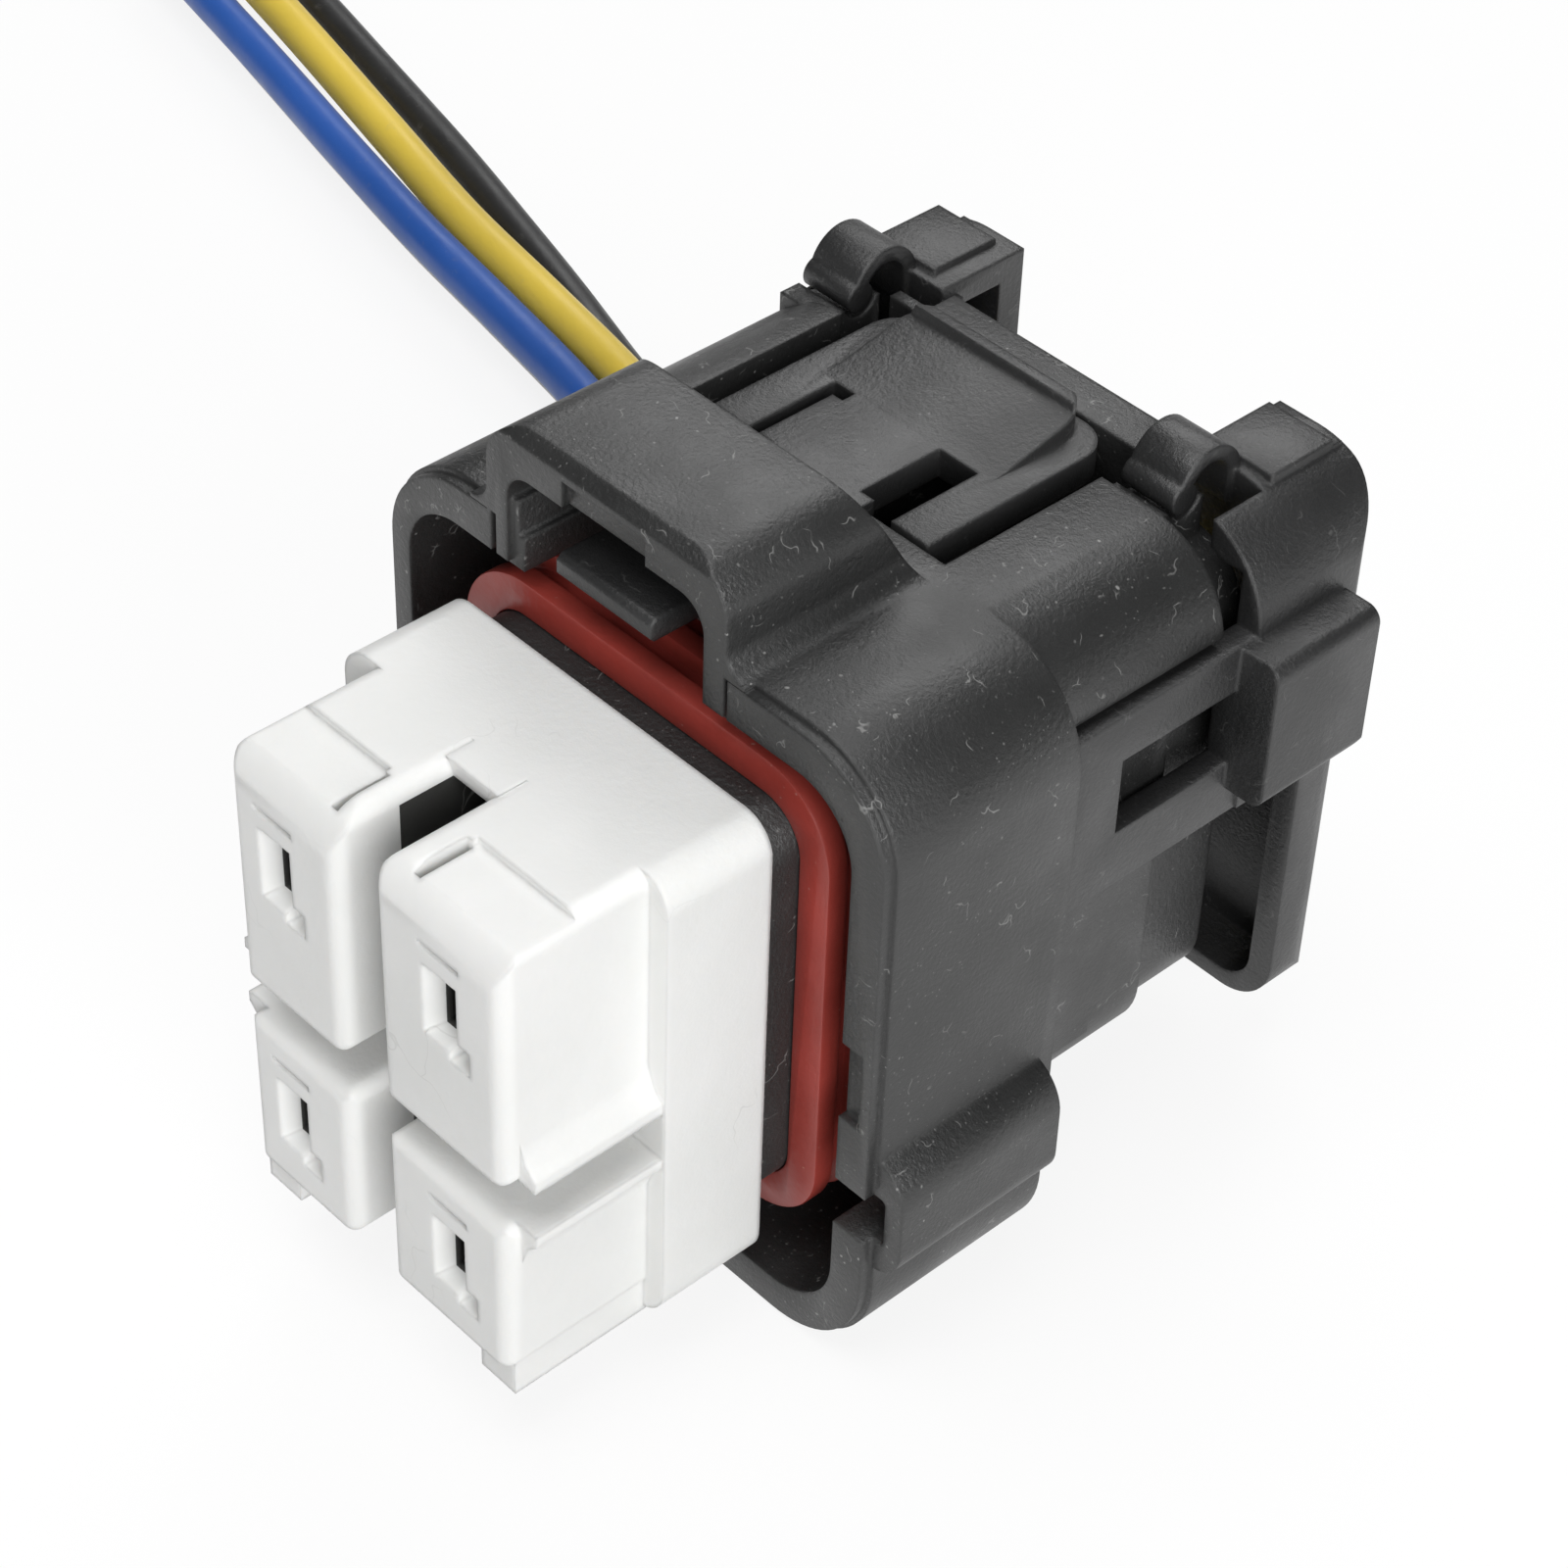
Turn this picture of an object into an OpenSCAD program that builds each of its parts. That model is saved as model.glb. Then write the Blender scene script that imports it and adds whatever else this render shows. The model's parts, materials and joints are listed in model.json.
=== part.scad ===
// Sealed automotive connector: a female four-way plug with short leads.
// Millimetres, +Z up. The mating face looks along -Y, the leads leave at the rear on the -X side.
// The origin is under the middle of the body, on the surface that it stands on.
// Inside the modules, y = 0 is the front rim of the hood; rim_y moves everything into place.

/* [Overall] */
// Reach of the front holder ahead of the hood's rim
nose_len = 15.4; // [14:0.1:17]
// Depth of the body behind the hood's rim, to the back of the rear cover
body_len = 33.2; // [32.6:0.1:36]

/* [Hood] */
// Width of the hood
hood_w = 33.6; // [33:0.1:36]
// Height of the hood at its shoulders
hood_h = 36.7; // [36:0.1:38]
// Length of the hood along the mating direction
hood_len = 11.7; // [11.2:0.1:12]
// Outer corner radius at the top of the hood
hood_top_r = 5.5; // [3:0.1:5.8]
// Outer corner radius at the bottom of the hood
hood_low_r = 6; // [4:0.1:6.5]
// Thickness of the hood's left wall
wall_left = 1.5; // [1.2:0.1:2]
// Thickness of the hood's right wall
wall_right = 2.2; // [1.6:0.1:2.4]
// Thickness of the hood's top wall
wall_top = 2.4; // [1.8:0.1:2.8]
// Thickness of the hood's floor
wall_low = 2.2; // [1.6:0.1:2.8]
// Depth of the pocket that takes the mating shroud
pocket_deep = 9.6; // [9:0.1:10]
// How far the key bumps stand out of the side walls
key_out = 1.6; // [1:0.1:2.2]
// Height of the key bumps' lower edge
key_low = 7.4; // [7:0.1:9]
// Height of a key bump
key_h = 7.2; // [6:0.1:8]

/* [Lock guard] */
// Sideways offset of the lock from the middle of the hood
lock_off = -1.5; // [-2:0.1:-1]
// Width of the guard arch over the lock
guard_w = 15.9; // [15.5:0.1:16.5]
// Height of the guard above the hood's shoulders
guard_h = 5.2; // [4.8:0.1:6]
// Length of the guard at its top
guard_len = 8; // [7:0.1:9]
// Thickness of the guard's sides
guard_side = 1.4; // [1.2:0.1:1.8]
// Thickness of the guard's roof
guard_roof = 2.4; // [2:0.1:2.6]
// Outer corner radius of the guard
guard_r = 2.6; // [1.5:0.1:3]
// Width of the notch in the front of the guard's roof
notch_w = 5.5; // [5:0.1:6]

/* [Core and cavities] */
// Width of the inner core that carries the seal
core_w = 20.8; // [20.4:0.1:21]
// Distance from the hood's top down to the core's top
core_under = 6.1; // [5.8:0.1:6.4]
// Height of the inner core's underside above the ground
core_low = 7.4; // [7.2:0.1:7.6]
// Distance between the two columns of cavities
pitch_x = 11.4; // [11.2:0.1:11.6]
// Height of a row of cavities inside the nearest face of the core
row_in = 4.9; // [4.8:0.1:5]
// Height of the lower row of cavities above the core's underside
row_up = 2.8; // [2.7:0.1:2.9]
// Width of a terminal cavity
cavity_w = 3.5; // [3.4:0.1:3.8]
// Height of a terminal cavity
cavity_h = 4.3; // [4.2:0.1:4.6]
// Radius of the bore that takes a wire seal
seal_bore_r = 2.65; // [2.5:0.05:2.8]
// Length of the bores that take the wire seals
seal_bore_len = 8.5; // [8:0.1:9]

/* [Rear of the housing] */
// Width of the housing between the arms of the rear cover
waist_w = 28.2; // [27.8:0.1:28.4]
// Width of the housing's shoulders behind the hood
shoulder_w = 30.5; // [29.8:0.1:31]
// Height of the housing's underside behind the hood
waist_low = 6.4; // [6:0.1:6.8]
// Where the core ends and the wire chamber starts
chamber_y = 22; // [21.8:0.1:22.2]
// Where the chamber's rim ends
shroud_y = 26; // [25.6:0.1:26.4]
// Where the roof over the chamber ends
roof_y = 27.7; // [27.4:0.1:28]

/* [Lock lever] */
// Thickness of the lever
lever_t = 1.6; // [1.2:0.1:1.8]
// Width of the lever over its two rails
lever_w = 14.2; // [14:0.1:14.6]
// Width of each rail
rail_w = 2.35; // [1.8:0.05:2.4]
// Width of the lever's tongue
tongue_w = 6.3; // [5.8:0.1:6.4]
// Where the rails join the housing
pivot_y = 12.6; // [12.5:0.1:12.8]
// Where the press pad ends
pad_y = 25; // [24.6:0.1:25.1]
// Height of the press pad's rear end above the rails
pad_up = 1.05; // [0.6:0.05:1.2]
// Height of the raised lip behind the press pad
pad_lip = 0.45; // [0.3:0.05:0.6]
// Side clearance of the lever in its window
lever_gap = 1.5; // [1.3:0.1:1.7]

/* [Rear cover] */
// Wall of the rear cover
cover_t = 1.4; // [1.2:0.1:1.5]
// Width of the rear cover
cover_w = 31.7; // [31.4:0.1:32]
// Height of the rear cover's underside
cover_low = 5; // [4.6:0.1:5.4]
// Height of the rear cover's ears above the hood's shoulders
ear_up = 0.3; // [0.2:0.1:0.6]
// Depth of the cover's rear wall below the hood's top, between the ears
sill_drop = 8.2; // [7.7:0.1:9.4]
// Corner radius of the rear cover
cover_r = 3; // [2:0.1:3.2]
// Where the cover's side walls start
flank_y = 24.3; // [24.2:0.1:24.6]
// Height of the snap arms' lower edge
arm_low = 21.4; // [21.2:0.1:21.8]
// Height of a snap arm
arm_h = 10.3; // [9.8:0.1:10.4]
// Thickness of a snap arm
arm_t = 1.25; // [1:0.05:1.3]
// Height of the window in a snap arm
window_h = 4.3; // [3.8:0.1:4.6]
// Length of the window in a snap arm
window_len = 7.7; // [7:0.1:8]
// How far the grip blocks stand out of the side walls
block_out = 2.2; // [1.5:0.1:2.3]
// Length of a grip block
block_len = 7; // [6:0.1:7.4]
// Height of a grip block
block_h = 8.3; // [7.6:0.1:8.6]

/* [Hinge straps] */
// Width of a hinge strap
strap_w = 3.2; // [3:0.1:3.4]
// Distance between the middles of the two straps
strap_pitch = 21.3; // [21.2:0.1:21.5]
// Thickness of a strap
strap_t = 0.75; // [0.7:0.05:0.9]
// Inner radius of a strap's loop
strap_r = 1.3; // [1.2:0.1:1.4]
// Where the straps are rooted in the housing
strap_y = 24.3; // [24.2:0.1:24.4]

/* [Front holder] */
// Width of the holder's base
holder_w = 22; // [21.6:0.1:22.4]
// Height of the holder's underside
holder_low = 4.5; // [4.3:0.1:4.8]
// How far the holder's top stands above the core
wing_up = 1.2; // [1:0.1:1.3]
// Length of the holder's base
base_len = 6; // [5.6:0.1:6.4]
// Width of the upright slot between the towers
slot_w = 2.5; // [2.2:0.1:2.8]
// Height of the level slot between the towers
slot_h = 2.8; // [2.4:0.1:3]
// Depth of both slots from the front
slot_deep = 6.6; // [6:0.1:6.8]
// How far the towers' flanks stand back from the base
tower_in = 1.2; // [0.9:0.1:1.4]
// Depth of the sunk pad on top of a tower
pad_sunk = 0.35; // [0.2:0.05:0.5]
// Width of the tab opening in a tower
tab_w = 1.3; // [1.1:0.1:1.6]
// Height of the tab opening in a tower
tab_h = 2.6; // [2.4:0.1:3]

/* [Seals] */
// Length of the perimeter seal
seal_len = 6.6; // [6:0.1:7]
// Thickness of the perimeter seal between its lips
seal_t = 1.1; // [0.9:0.1:1.3]
// How far the perimeter seal's lips stand out
lip_out = 0.9; // [0.7:0.1:0.95]
// Radius of a wire seal over its ribs
plug_r = 2.6; // [2.45:0.05:2.75]

/* [Leads and terminals] */
// Outer diameter of a lead
lead_d = 2.7; // [2.5:0.1:2.8]
// Sheet thickness of a terminal
sheet_t = 0.3; // [0.25:0.05:0.35]
// Width of a terminal's box
box_w = 2.8; // [2.7:0.1:3]
// Height of a terminal's box
box_h = 3.6; // [3.5:0.1:3.8]
// Length of a terminal's box
box_len = 9; // [8.6:0.1:9.4]

/* [Hidden] */
$fn = 48;

black = [0.13, 0.13, 0.14];
red = [0.62, 0.2, 0.16];
white = [0.92, 0.92, 0.9];
tin = [0.78, 0.77, 0.74];

over = 0.5;                                  // how far a cut runs past a face
gap = 0.3;                                   // clearance between bodies that move
slip = 0.1;                                  // clearance between pieces of one body
rim_y = nose_len - (nose_len + body_len) / 2;
half_w = hood_w / 2;
hood_in_x0 = wall_left - half_w;
hood_in_x1 = half_w - wall_right;
guard_x0 = lock_off - guard_w / 2;
guard_x1 = lock_off + guard_w / 2;
guard_top = hood_h + guard_h;
guard_in_top = guard_top - guard_roof;
core_x = core_w / 2;
core_top = hood_h - core_under;
row_z = core_low + row_up;
pitch_z = core_top - row_in - row_z;
sill_h = hood_h - sill_drop;
ear_h = hood_h + ear_up;
holder_top = core_top + wing_up;
core_front = -0.9;                           // the core's front face, just behind the holder
bore_y = chamber_y - seal_bore_len;          // where the wire seal bores start
columns = [-pitch_x / 2, pitch_x / 2];
rows = [row_z, row_z + pitch_z];
window_floor = hood_h - 4.2;                 // floor of the lock lever's window
window_x = lever_w / 2 + lever_gap;
window_end = pad_y + gap;
arm_x = waist_w / 2 + 0.35;                  // inner face of the snap arms
arm_top = arm_low + arm_h;
flank_x = cover_w / 2;
strap_off = -1.65;                           // the straps sit a little left of the middle
strap_z = hood_h - 0.2;                      // height of the straps' roots
root_r = 0.8;
loop_y = strap_y + strap_r + strap_t / 2;
tower_front = -nose_len;
holder_back = core_front - gap;
base_front = holder_back - base_len;
slot_back = tower_front + slot_deep;
tower_x = holder_w / 2 - tower_in;
slot_z = row_z + pitch_z / 2 - 1.2;          // middle of the level slot
edge_r = 0.9;                                // rounding of the towers' upright edges
box_front = tower_front + 1.5;               // a terminal's box stops behind the tower's front wall
box_back = box_front + box_len;
crimp_y = box_back + 1.2;                    // start of the conductor crimp
crimp_len = 3.6;
grip_y = crimp_y + crimp_len + 0.8;          // start of the insulation grip
grip_len = 3.2;

// ---- leads: the route of each one in the part's own frame, chosen by hand ----
blue_route = [[columns[0], -8, rows[1]], [columns[0], 3, rows[1]], [columns[0], 12.6, rows[1]],
    [-6.2, 15.2, 24.8], [-7.6, 17.2, 22.6],
    [-9.8, 18.2, 19.6], [-13, 18.4, 16.4], [-17.6, 18.6, 13.6], [-24, 20.2, 10.4], [-31.5, 23.2, 7.2],
    [-40, 26.8, 4.8], [-49, 29.9, 3.8], [-59, 31.8, 3.8], [-69, 33.6, 3.8], [-80, 36, 3.8],
    [-92, 38.8, 3.8], [-104, 41.4, 3.8], [-116, 44, 3.75]];
yellow_route = [[columns[1], -8, rows[1]], [columns[1], 3, rows[1]], [columns[1], 14.6, rows[1]],
    [5.3, 17.4, 25.2], [3.8, 19.8, 23.9],
    [1.2, 21, 22], [-3.4, 21.2, 19.2], [-9, 21.2, 16.2], [-15, 21.2, 13.6], [-22, 22.6, 11.2],
    [-30, 25.8, 8.2], [-39, 29.7, 5.4], [-48.6, 32.9, 4], [-58, 34.8, 3.8], [-68, 36.6, 3.8],
    [-79, 39.3, 3.8], [-91, 42.3, 3.8], [-102, 45, 3.6], [-113, 47.6, 3.2]];
white_route = [[columns[0], -8, row_z], [columns[0], 3, row_z], [columns[0], 12.6, row_z],
    [-6.4, 15.6, 10.2], [-8.2, 17.6, 10.2],
    [-11, 18.3, 10], [-15, 18.5, 9.4], [-20, 19.6, 7.9], [-26, 22, 5.6], [-32, 25, 3.5],
    [-38.5, 28.2, 1.9], [-45, 30.5, 1.4], [-52, 32.1, 1.35], [-61, 33.8, 1.35], [-71, 35.6, 1.35],
    [-82, 38, 1.35], [-94, 40.8, 1.35], [-106, 43.6, 1.35], [-118, 46.2, 1.35]];
black_route = [[columns[1], -8, row_z], [columns[1], 3, row_z], [columns[1], 14.8, row_z],
    [5.2, 18, 10.2], [3.4, 20.2, 10.2],
    [0.4, 21.1, 10.2], [-5, 21.2, 10.1], [-10.5, 21.2, 9.8], [-16, 21.6, 9], [-22, 23.4, 7],
    [-29, 26.6, 4.5], [-36, 30, 2.6], [-44, 33.4, 1.6], [-52, 35.9, 1.35], [-60, 38.4, 1.35],
    [-68, 40.7, 1.35], [-77, 43.2, 1.35], [-88, 45.9, 1.35], [-100, 48.8, 1.35], [-112, 51.4, 1.35]];

function unit(v) = v / norm(v);
function heading(p, i) = unit(p[min(i + 1, len(p) - 1)] - p[max(i - 1, 0)]);
function ring_at(p, i, r, n) =
    let (t = heading(p, i), side = unit(cross(t, [0, 0, 1])), up = cross(side, t))
    [for (k = [0 : n - 1]) p[i] + r * (cos(360 * k / n) * side + sin(360 * k / n) * up)];

// A tube of radius r swept along the points of a route, its rings joined by flat facets.
module tube(p, r, n = 8) {
    m = len(p);
    points = [for (i = [0 : m - 1]) each ring_at(p, i, r, n)];
    sides = [for (i = [0 : m - 2], k = [0 : n - 1])
        let (j = (k + 1) % n)
        each [[i * n + k, i * n + j, (i + 1) * n + j], [i * n + k, (i + 1) * n + j, (i + 1) * n + k]]];
    front = [[for (k = [0 : n - 1]) n - 1 - k]];
    back = [[for (k = [0 : n - 1]) (m - 1) * n + k]];
    polyhedron(points, concat(sides, front, back));
}

// ---- shared shapes ----
// Extrudes an X-Z outline along Y.
module along_y(y0, y1) {
    translate([0, y1, 0]) rotate([90, 0, 0]) linear_extrude(y1 - y0) children();
}

// Extrudes a Y-Z outline along X.
module along_x(x0, x1) {
    translate([x0, 0, 0]) rotate([90, 0, 90]) linear_extrude(x1 - x0) children();
}

// A rectangle with one radius for its two lower corners and one for its two upper corners.
module plate(x0, x1, z0, z1, low_r, top_r) {
    polygon([[x0 + low_r, z0], [x1 - low_r, z0], [x1, z0 + low_r], [x1, z1 - top_r],
        [x1 - top_r, z1], [x0 + top_r, z1], [x0, z1 - top_r], [x0, z0 + low_r]]);
    for (x = [x0 + low_r, x1 - low_r]) translate([x, z0 + low_r]) circle(low_r);
    for (x = [x0 + top_r, x1 - top_r]) translate([x, z1 - top_r]) circle(top_r);
}

module box3(x0, x1, y0, y1, z0, z1) {
    translate([x0, y0, z0]) cube([x1 - x0, y1 - y0, z1 - z0]);
}

module both_sides() {
    children();
    mirror([1, 0, 0]) children();
}

// The outline of the core, grown by g all round.
module core_outline(g) {
    plate(-core_x - g, core_x + g, core_low - g, core_top + g, 2.4 + g, 2.4 + g);
}

// ---- housing ----
module guard_outline() {
    plate(guard_x0, guard_x1, hood_h - hood_top_r, guard_top, 0.2, guard_r);
    // hollow fillets where the guard's sides meet the shoulders
    foot = 1.2;
    for (s = [[guard_x0, -1], [guard_x1, 1]])
        difference() {
            translate([s[0] + (s[1] < 0 ? -foot : -0.2), hood_h - 0.2]) square([foot + 0.2, foot + 0.2]);
            translate([s[0] + s[1] * foot, hood_h + foot]) circle(foot);
        }
}

module guard() {
    lean = 3.1;                              // the guard's rear end leans back to the shoulders
    intersection() {
        along_y(0, guard_len + lean) guard_outline();
        along_x(-hood_w, hood_w)
            polygon([[0, 0], [0, guard_top - 0.6], [0.6, guard_top], [guard_len, guard_top],
                [guard_len + lean, hood_h], [guard_len + lean, 0]]);
    }
}

module key_bump() {
    out = half_w + key_out;
    along_y(0.6, hood_len - 0.9) plate(half_w - 5, out, key_low, key_low + key_h, 2, 2.6);
}

// The hood's outer shell with its front edge eased.
module hood_outer() {
    ease = 0.6;
    along_y(ease, hood_len) plate(-half_w, half_w, 0, hood_h, hood_low_r, hood_top_r);
    along_y(0, ease + 0.1)
        plate(-half_w + 0.25, half_w - 0.25, 0.25, hood_h - 0.25, hood_low_r - 0.25, hood_top_r - 0.25);
    guard();
    both_sides() key_bump();
}

module hood_cuts() {
    notch_deep = 0.45;
    slit_deep = 5;
    // pocket for the mating shroud
    difference() {
        along_y(-over, pocket_deep)
            plate(hood_in_x0, hood_in_x1, wall_low, hood_h - wall_top, 4, 3.6);
        along_y(-2 * over, pocket_deep + over) core_outline(0);
    }
    // keyways for the ribs of the mating shroud
    both_sides() along_y(-over, pocket_deep)
        plate(0, half_w + key_out - 1.1, key_low + 1.9, key_low + 4.8, 0.3, 0.3);
    // tunnel under the guard
    along_y(-over, pocket_deep)
        plate(guard_x0 + guard_side, guard_x1 - guard_side, core_top + 0.6, guard_in_top, 0.5, 1.6);
    // notch in the front of the guard's roof
    notch_x = notch_w / 2;
    box3(lock_off - notch_x, lock_off + notch_x, -over, notch_deep, guard_in_top - over,
        guard_in_top + 1.4);
    // narrow slits outside the guide ribs
    box3(guard_x0 + 0.25, guard_x0 + 0.6, -over, slit_deep, hood_h - wall_top - over, hood_h - 0.2);
    box3(guard_x1 - 0.1, guard_x1 + 0.15, -over, slit_deep, hood_h - wall_top - over, hood_h - 0.2);
    // small recess in the front of the right wall
    box3(half_w - 2 - wall_right * 0.2, half_w - 0.9, -over, 0.5, 16.2, 20.8);
}

// Two upright guide ribs beside the lock, inside the guard.
module guide_ribs() {
    box3(guard_x0 + 0.6, guard_x0 + 1.8, 0.3, pocket_deep + over, hood_h - wall_top - 0.3, hood_h + 1);
    box3(guard_x0 + 1.7, guard_x0 + 2.2, 0.3, pocket_deep + over, hood_h - wall_top - 0.3, hood_h - 0.9);
    box3(guard_x1 - 1.5, guard_x1 - 0.2, 0.3, pocket_deep + over, hood_h - wall_top - 0.3, hood_h + 1);
}

module rear_body() {
    waist_end = chamber_y - 1.2;
    rim_in = 0.8;
    // waist between the snap arms, up to the chamber
    along_y(hood_len - over, waist_end)
        plate(-waist_w / 2, waist_w / 2, waist_low, hood_h, 4.4, 4.6);
    // wider shoulders above the arms
    along_y(hood_len - over, chamber_y + 0.5)
        intersection() {
            plate(-shoulder_w / 2, shoulder_w / 2, 10, hood_h, 4, 5);
            translate([-shoulder_w, arm_top + 0.6]) square([2 * shoulder_w, 20]);
        }
    // rim of the wire chamber
    along_y(waist_end - over, shroud_y)
        plate(-waist_w / 2 + rim_in, waist_w / 2 - rim_in, waist_low + 0.5, hood_h - 2.6, 3.6, 3.4);
    // roof over the chamber, between the straps
    roof_x0 = strap_off - strap_pitch / 2 + strap_w / 2 + 1;
    roof_x1 = strap_off + strap_pitch / 2 - strap_w / 2 - gap;
    box3(roof_x0, roof_x1, chamber_y, shroud_y, hood_h - 4, hood_h);
    box3(roof_x0 + 2, roof_x1 - gap, chamber_y, roof_y, hood_h - 2, hood_h);
    // seats for the roots of the straps, below a ledge
    for (x = [-1, 1])
        translate([strap_off + x * strap_pitch / 2, 0, 0])
            box3(-strap_w / 2, strap_w / 2, chamber_y, strap_y + 1.3, hood_h - 4, strap_z - 0.3);
}

// Stop blocks low on the flanks, just behind the hood.
module stop_blocks() {
    both_sides()
        along_y(hood_len - over, hood_len + 5.6)
            polygon([[waist_w / 2 - 3, 9.4], [waist_w / 2, 9.9], [waist_w / 2, 19], [waist_w / 2 - 3, 20]]);
}

// Ramps that the windows of the snap arms lock behind.
module snap_ramps() {
    ramp_y = hood_len + 9.2;
    both_sides()
        translate([0, 0, arm_low + 4.2])
            linear_extrude(2.6)
                polygon([[waist_w / 2 - 1.2, ramp_y - 0.4], [waist_w / 2, ramp_y - 0.4],
                    [arm_x - gap, ramp_y], [arm_x - gap, ramp_y + 1.2], [waist_w / 2 - 1.2, ramp_y + 2.6]]);
}

module body_cuts() {
    // window of the lock lever, and its way forward under the guard
    box3(lock_off - window_x, lock_off + window_x, pivot_y - 0.1, window_end, window_floor, hood_h + 2);
    box3(lock_off - tongue_w / 2 - 0.6, lock_off + tongue_w / 2 + 0.6, pocket_deep - 0.1, pivot_y + 0.1,
        window_floor, guard_in_top);
    // troughs for the roots of the straps
    for (x = [-1, 1])
        translate([strap_off + x * strap_pitch / 2, strap_y, strap_z])
            rotate([0, 90, 0]) cylinder(h = strap_w + 2 * gap, r = root_r + gap, center = true);
    // wire chamber, with its outlet on the left
    along_y(chamber_y, shroud_y + over)
        plate(-waist_w / 2 + 1.9, waist_w / 2 - 1.9, waist_low + 2.3, core_top, 2, 2);
    box3(-half_w, -waist_w / 2 + 3, chamber_y + 0.6, shroud_y + over, waist_low + 2.3, 19.5);
    // cavities and wire seal bores
    for (x = columns, z = rows) {
        along_y(core_front - over, bore_y + 0.1)
            translate([x - cavity_w / 2, z - cavity_h / 2]) square([cavity_w, cavity_h]);
        translate([x, chamber_y + over, z]) rotate([90, 0, 0])
            cylinder(h = seal_bore_len + over, r = seal_bore_r);
    }
    // hollow between the columns, behind the gap of the front holder
    box3(-1.6, 1.6, core_front - over, 7.5, slot_z + 1.8, core_top - 1.6);
    // slot for the tongue of the front holder
    box3(-2.6, 2.6, core_front - over, 7, slot_z - 1, slot_z + 1);
}

module housing() {
    color(black) translate([0, rim_y, 0]) difference() {
        union() {
            difference() {
                hood_outer();
                hood_cuts();
            }
            guide_ribs();
            along_y(core_front, hood_len) core_outline(0);
            rear_body();
            stop_blocks();
            snap_ramps();
        }
        body_cuts();
    }
}

// ---- front holder ----
// The flared lips of a pair of towers, above and below the level slot.
module lip(x, out) {
    for (s = [-1, 1])
        translate([0, 0, slot_z]) mirror([0, 0, s < 0 ? 1 : 0])
            along_y(tower_front + edge_r, base_front + 1)
                polygon([[x - 1, slot_h / 2], [x + out, slot_h / 2], [x + out, slot_h / 2 + 0.6],
                    [x + out * 0.4, slot_h / 2 + 1.2], [x, slot_h / 2 + 2.4], [x - 1, slot_h / 2 + 2.4]]);
}

// One quarter tower: its outline seen from the front, cut by its outline seen from the side.
module tower(x0, x1, z0, z1, up) {
    nose_r = up ? 2.4 : 0.8;
    intersection() {
        along_y(tower_front, base_front + 1) plate(x0, x1, z0, z1, 0.5, up ? 0.9 : 0.8);
        along_x(x0, x1) {
            polygon([[tower_front, z0], [base_front + 1, z0], [base_front + 1, z1],
                [tower_front + nose_r, z1], [tower_front, z1 - nose_r]]);
            translate([tower_front + nose_r, z1 - nose_r]) circle(nose_r);
        }
        // the upright corners at the front are rounded too
        translate([0, 0, z0]) linear_extrude(z1 - z0) {
            translate([x0, tower_front + edge_r]) square([x1 - x0, nose_len]);
            translate([x0 + edge_r, tower_front]) square([x1 - x0 - 2 * edge_r, nose_len]);
            for (x = [x0 + edge_r, x1 - edge_r]) translate([x, tower_front + edge_r]) circle(edge_r);
        }
    }
}

// The sunk pad on top of an upper tower, with the slit beside it.
module pad_cut(x0, x1) {
    slit_deep = 8;
    step_y = tower_front + 4.3;
    box3(x0, x1, tower_front - over, step_y, holder_top - pad_sunk, holder_top + over);
    box3(x0 - 0.35, x0 + 0.1, tower_front + 1.1, step_y - 0.3, holder_top - slit_deep, holder_top + over);
}

module holder_solid() {
    inner = slot_w / 2;
    split = slot_z;
    web_t = 0.8;
    left_in = 0.9;                           // the left towers are narrower than the right ones
    difference() {
        union() {
            along_y(base_front, holder_back)
                plate(-holder_w / 2, holder_w / 2, holder_low, holder_top, 2, 1.8);
            for (s = [-1, 1]) {
                x0 = s < 0 ? -tower_x + left_in : inner;
                x1 = s < 0 ? -inner : tower_x;
                rib_x = s < 0 ? x0 : x1 - 2.8;
                tower(x0, x1, split + slot_h / 2, holder_top, true);
                tower(x0, x1, holder_low + 1.8, split - slot_h / 2, false);
                // rib under the outer part of the lower tower
                box3(rib_x + 0.2, rib_x + 2.6, tower_front + 0.5, base_front + 1,
                    holder_low - 0.2, holder_low + 3);
            }
            // web that joins the upper towers ahead of the base
            box3(-inner - over, inner + over, slot_back, base_front + over, holder_top - web_t, holder_top);
            // flared lips of the right towers on both sides of the level slot, and of the left ones
            lip(tower_x, 1);
            mirror([1, 0, 0]) lip(tower_x - left_in, 1);
            // tongue into the core
            box3(-2.5, 2.5, holder_back - over, 6.6, slot_z - 0.9, slot_z + 0.9);
        }
        // cross-shaped gap between the towers, open to the core behind it
        box3(-inner, inner, tower_front - over, slot_back, holder_low - 3, holder_top + over);
        box3(-inner, inner, tower_front, holder_back + over, split + 1.4, holder_top - web_t);
        box3(inner - over, tower_x - 0.6, base_front - over, base_front + 1.6, split - 0.7, split + 0.7);
        box3(-holder_w, holder_w, tower_front - over, base_front, split - slot_h / 2, split + slot_h / 2);
        box3(-tower_x, tower_x, tower_front - over, slot_back, split - slot_h / 2, split + slot_h / 2);
        // sunk pads
        pad_cut(inner + 2, tower_x + over);
        mirror([1, 0, 0]) pad_cut(inner + 1.4, tower_x - 0.6);
        for (x = columns, z = rows) translate([x, 0, z]) socket();
    }
}

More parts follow.
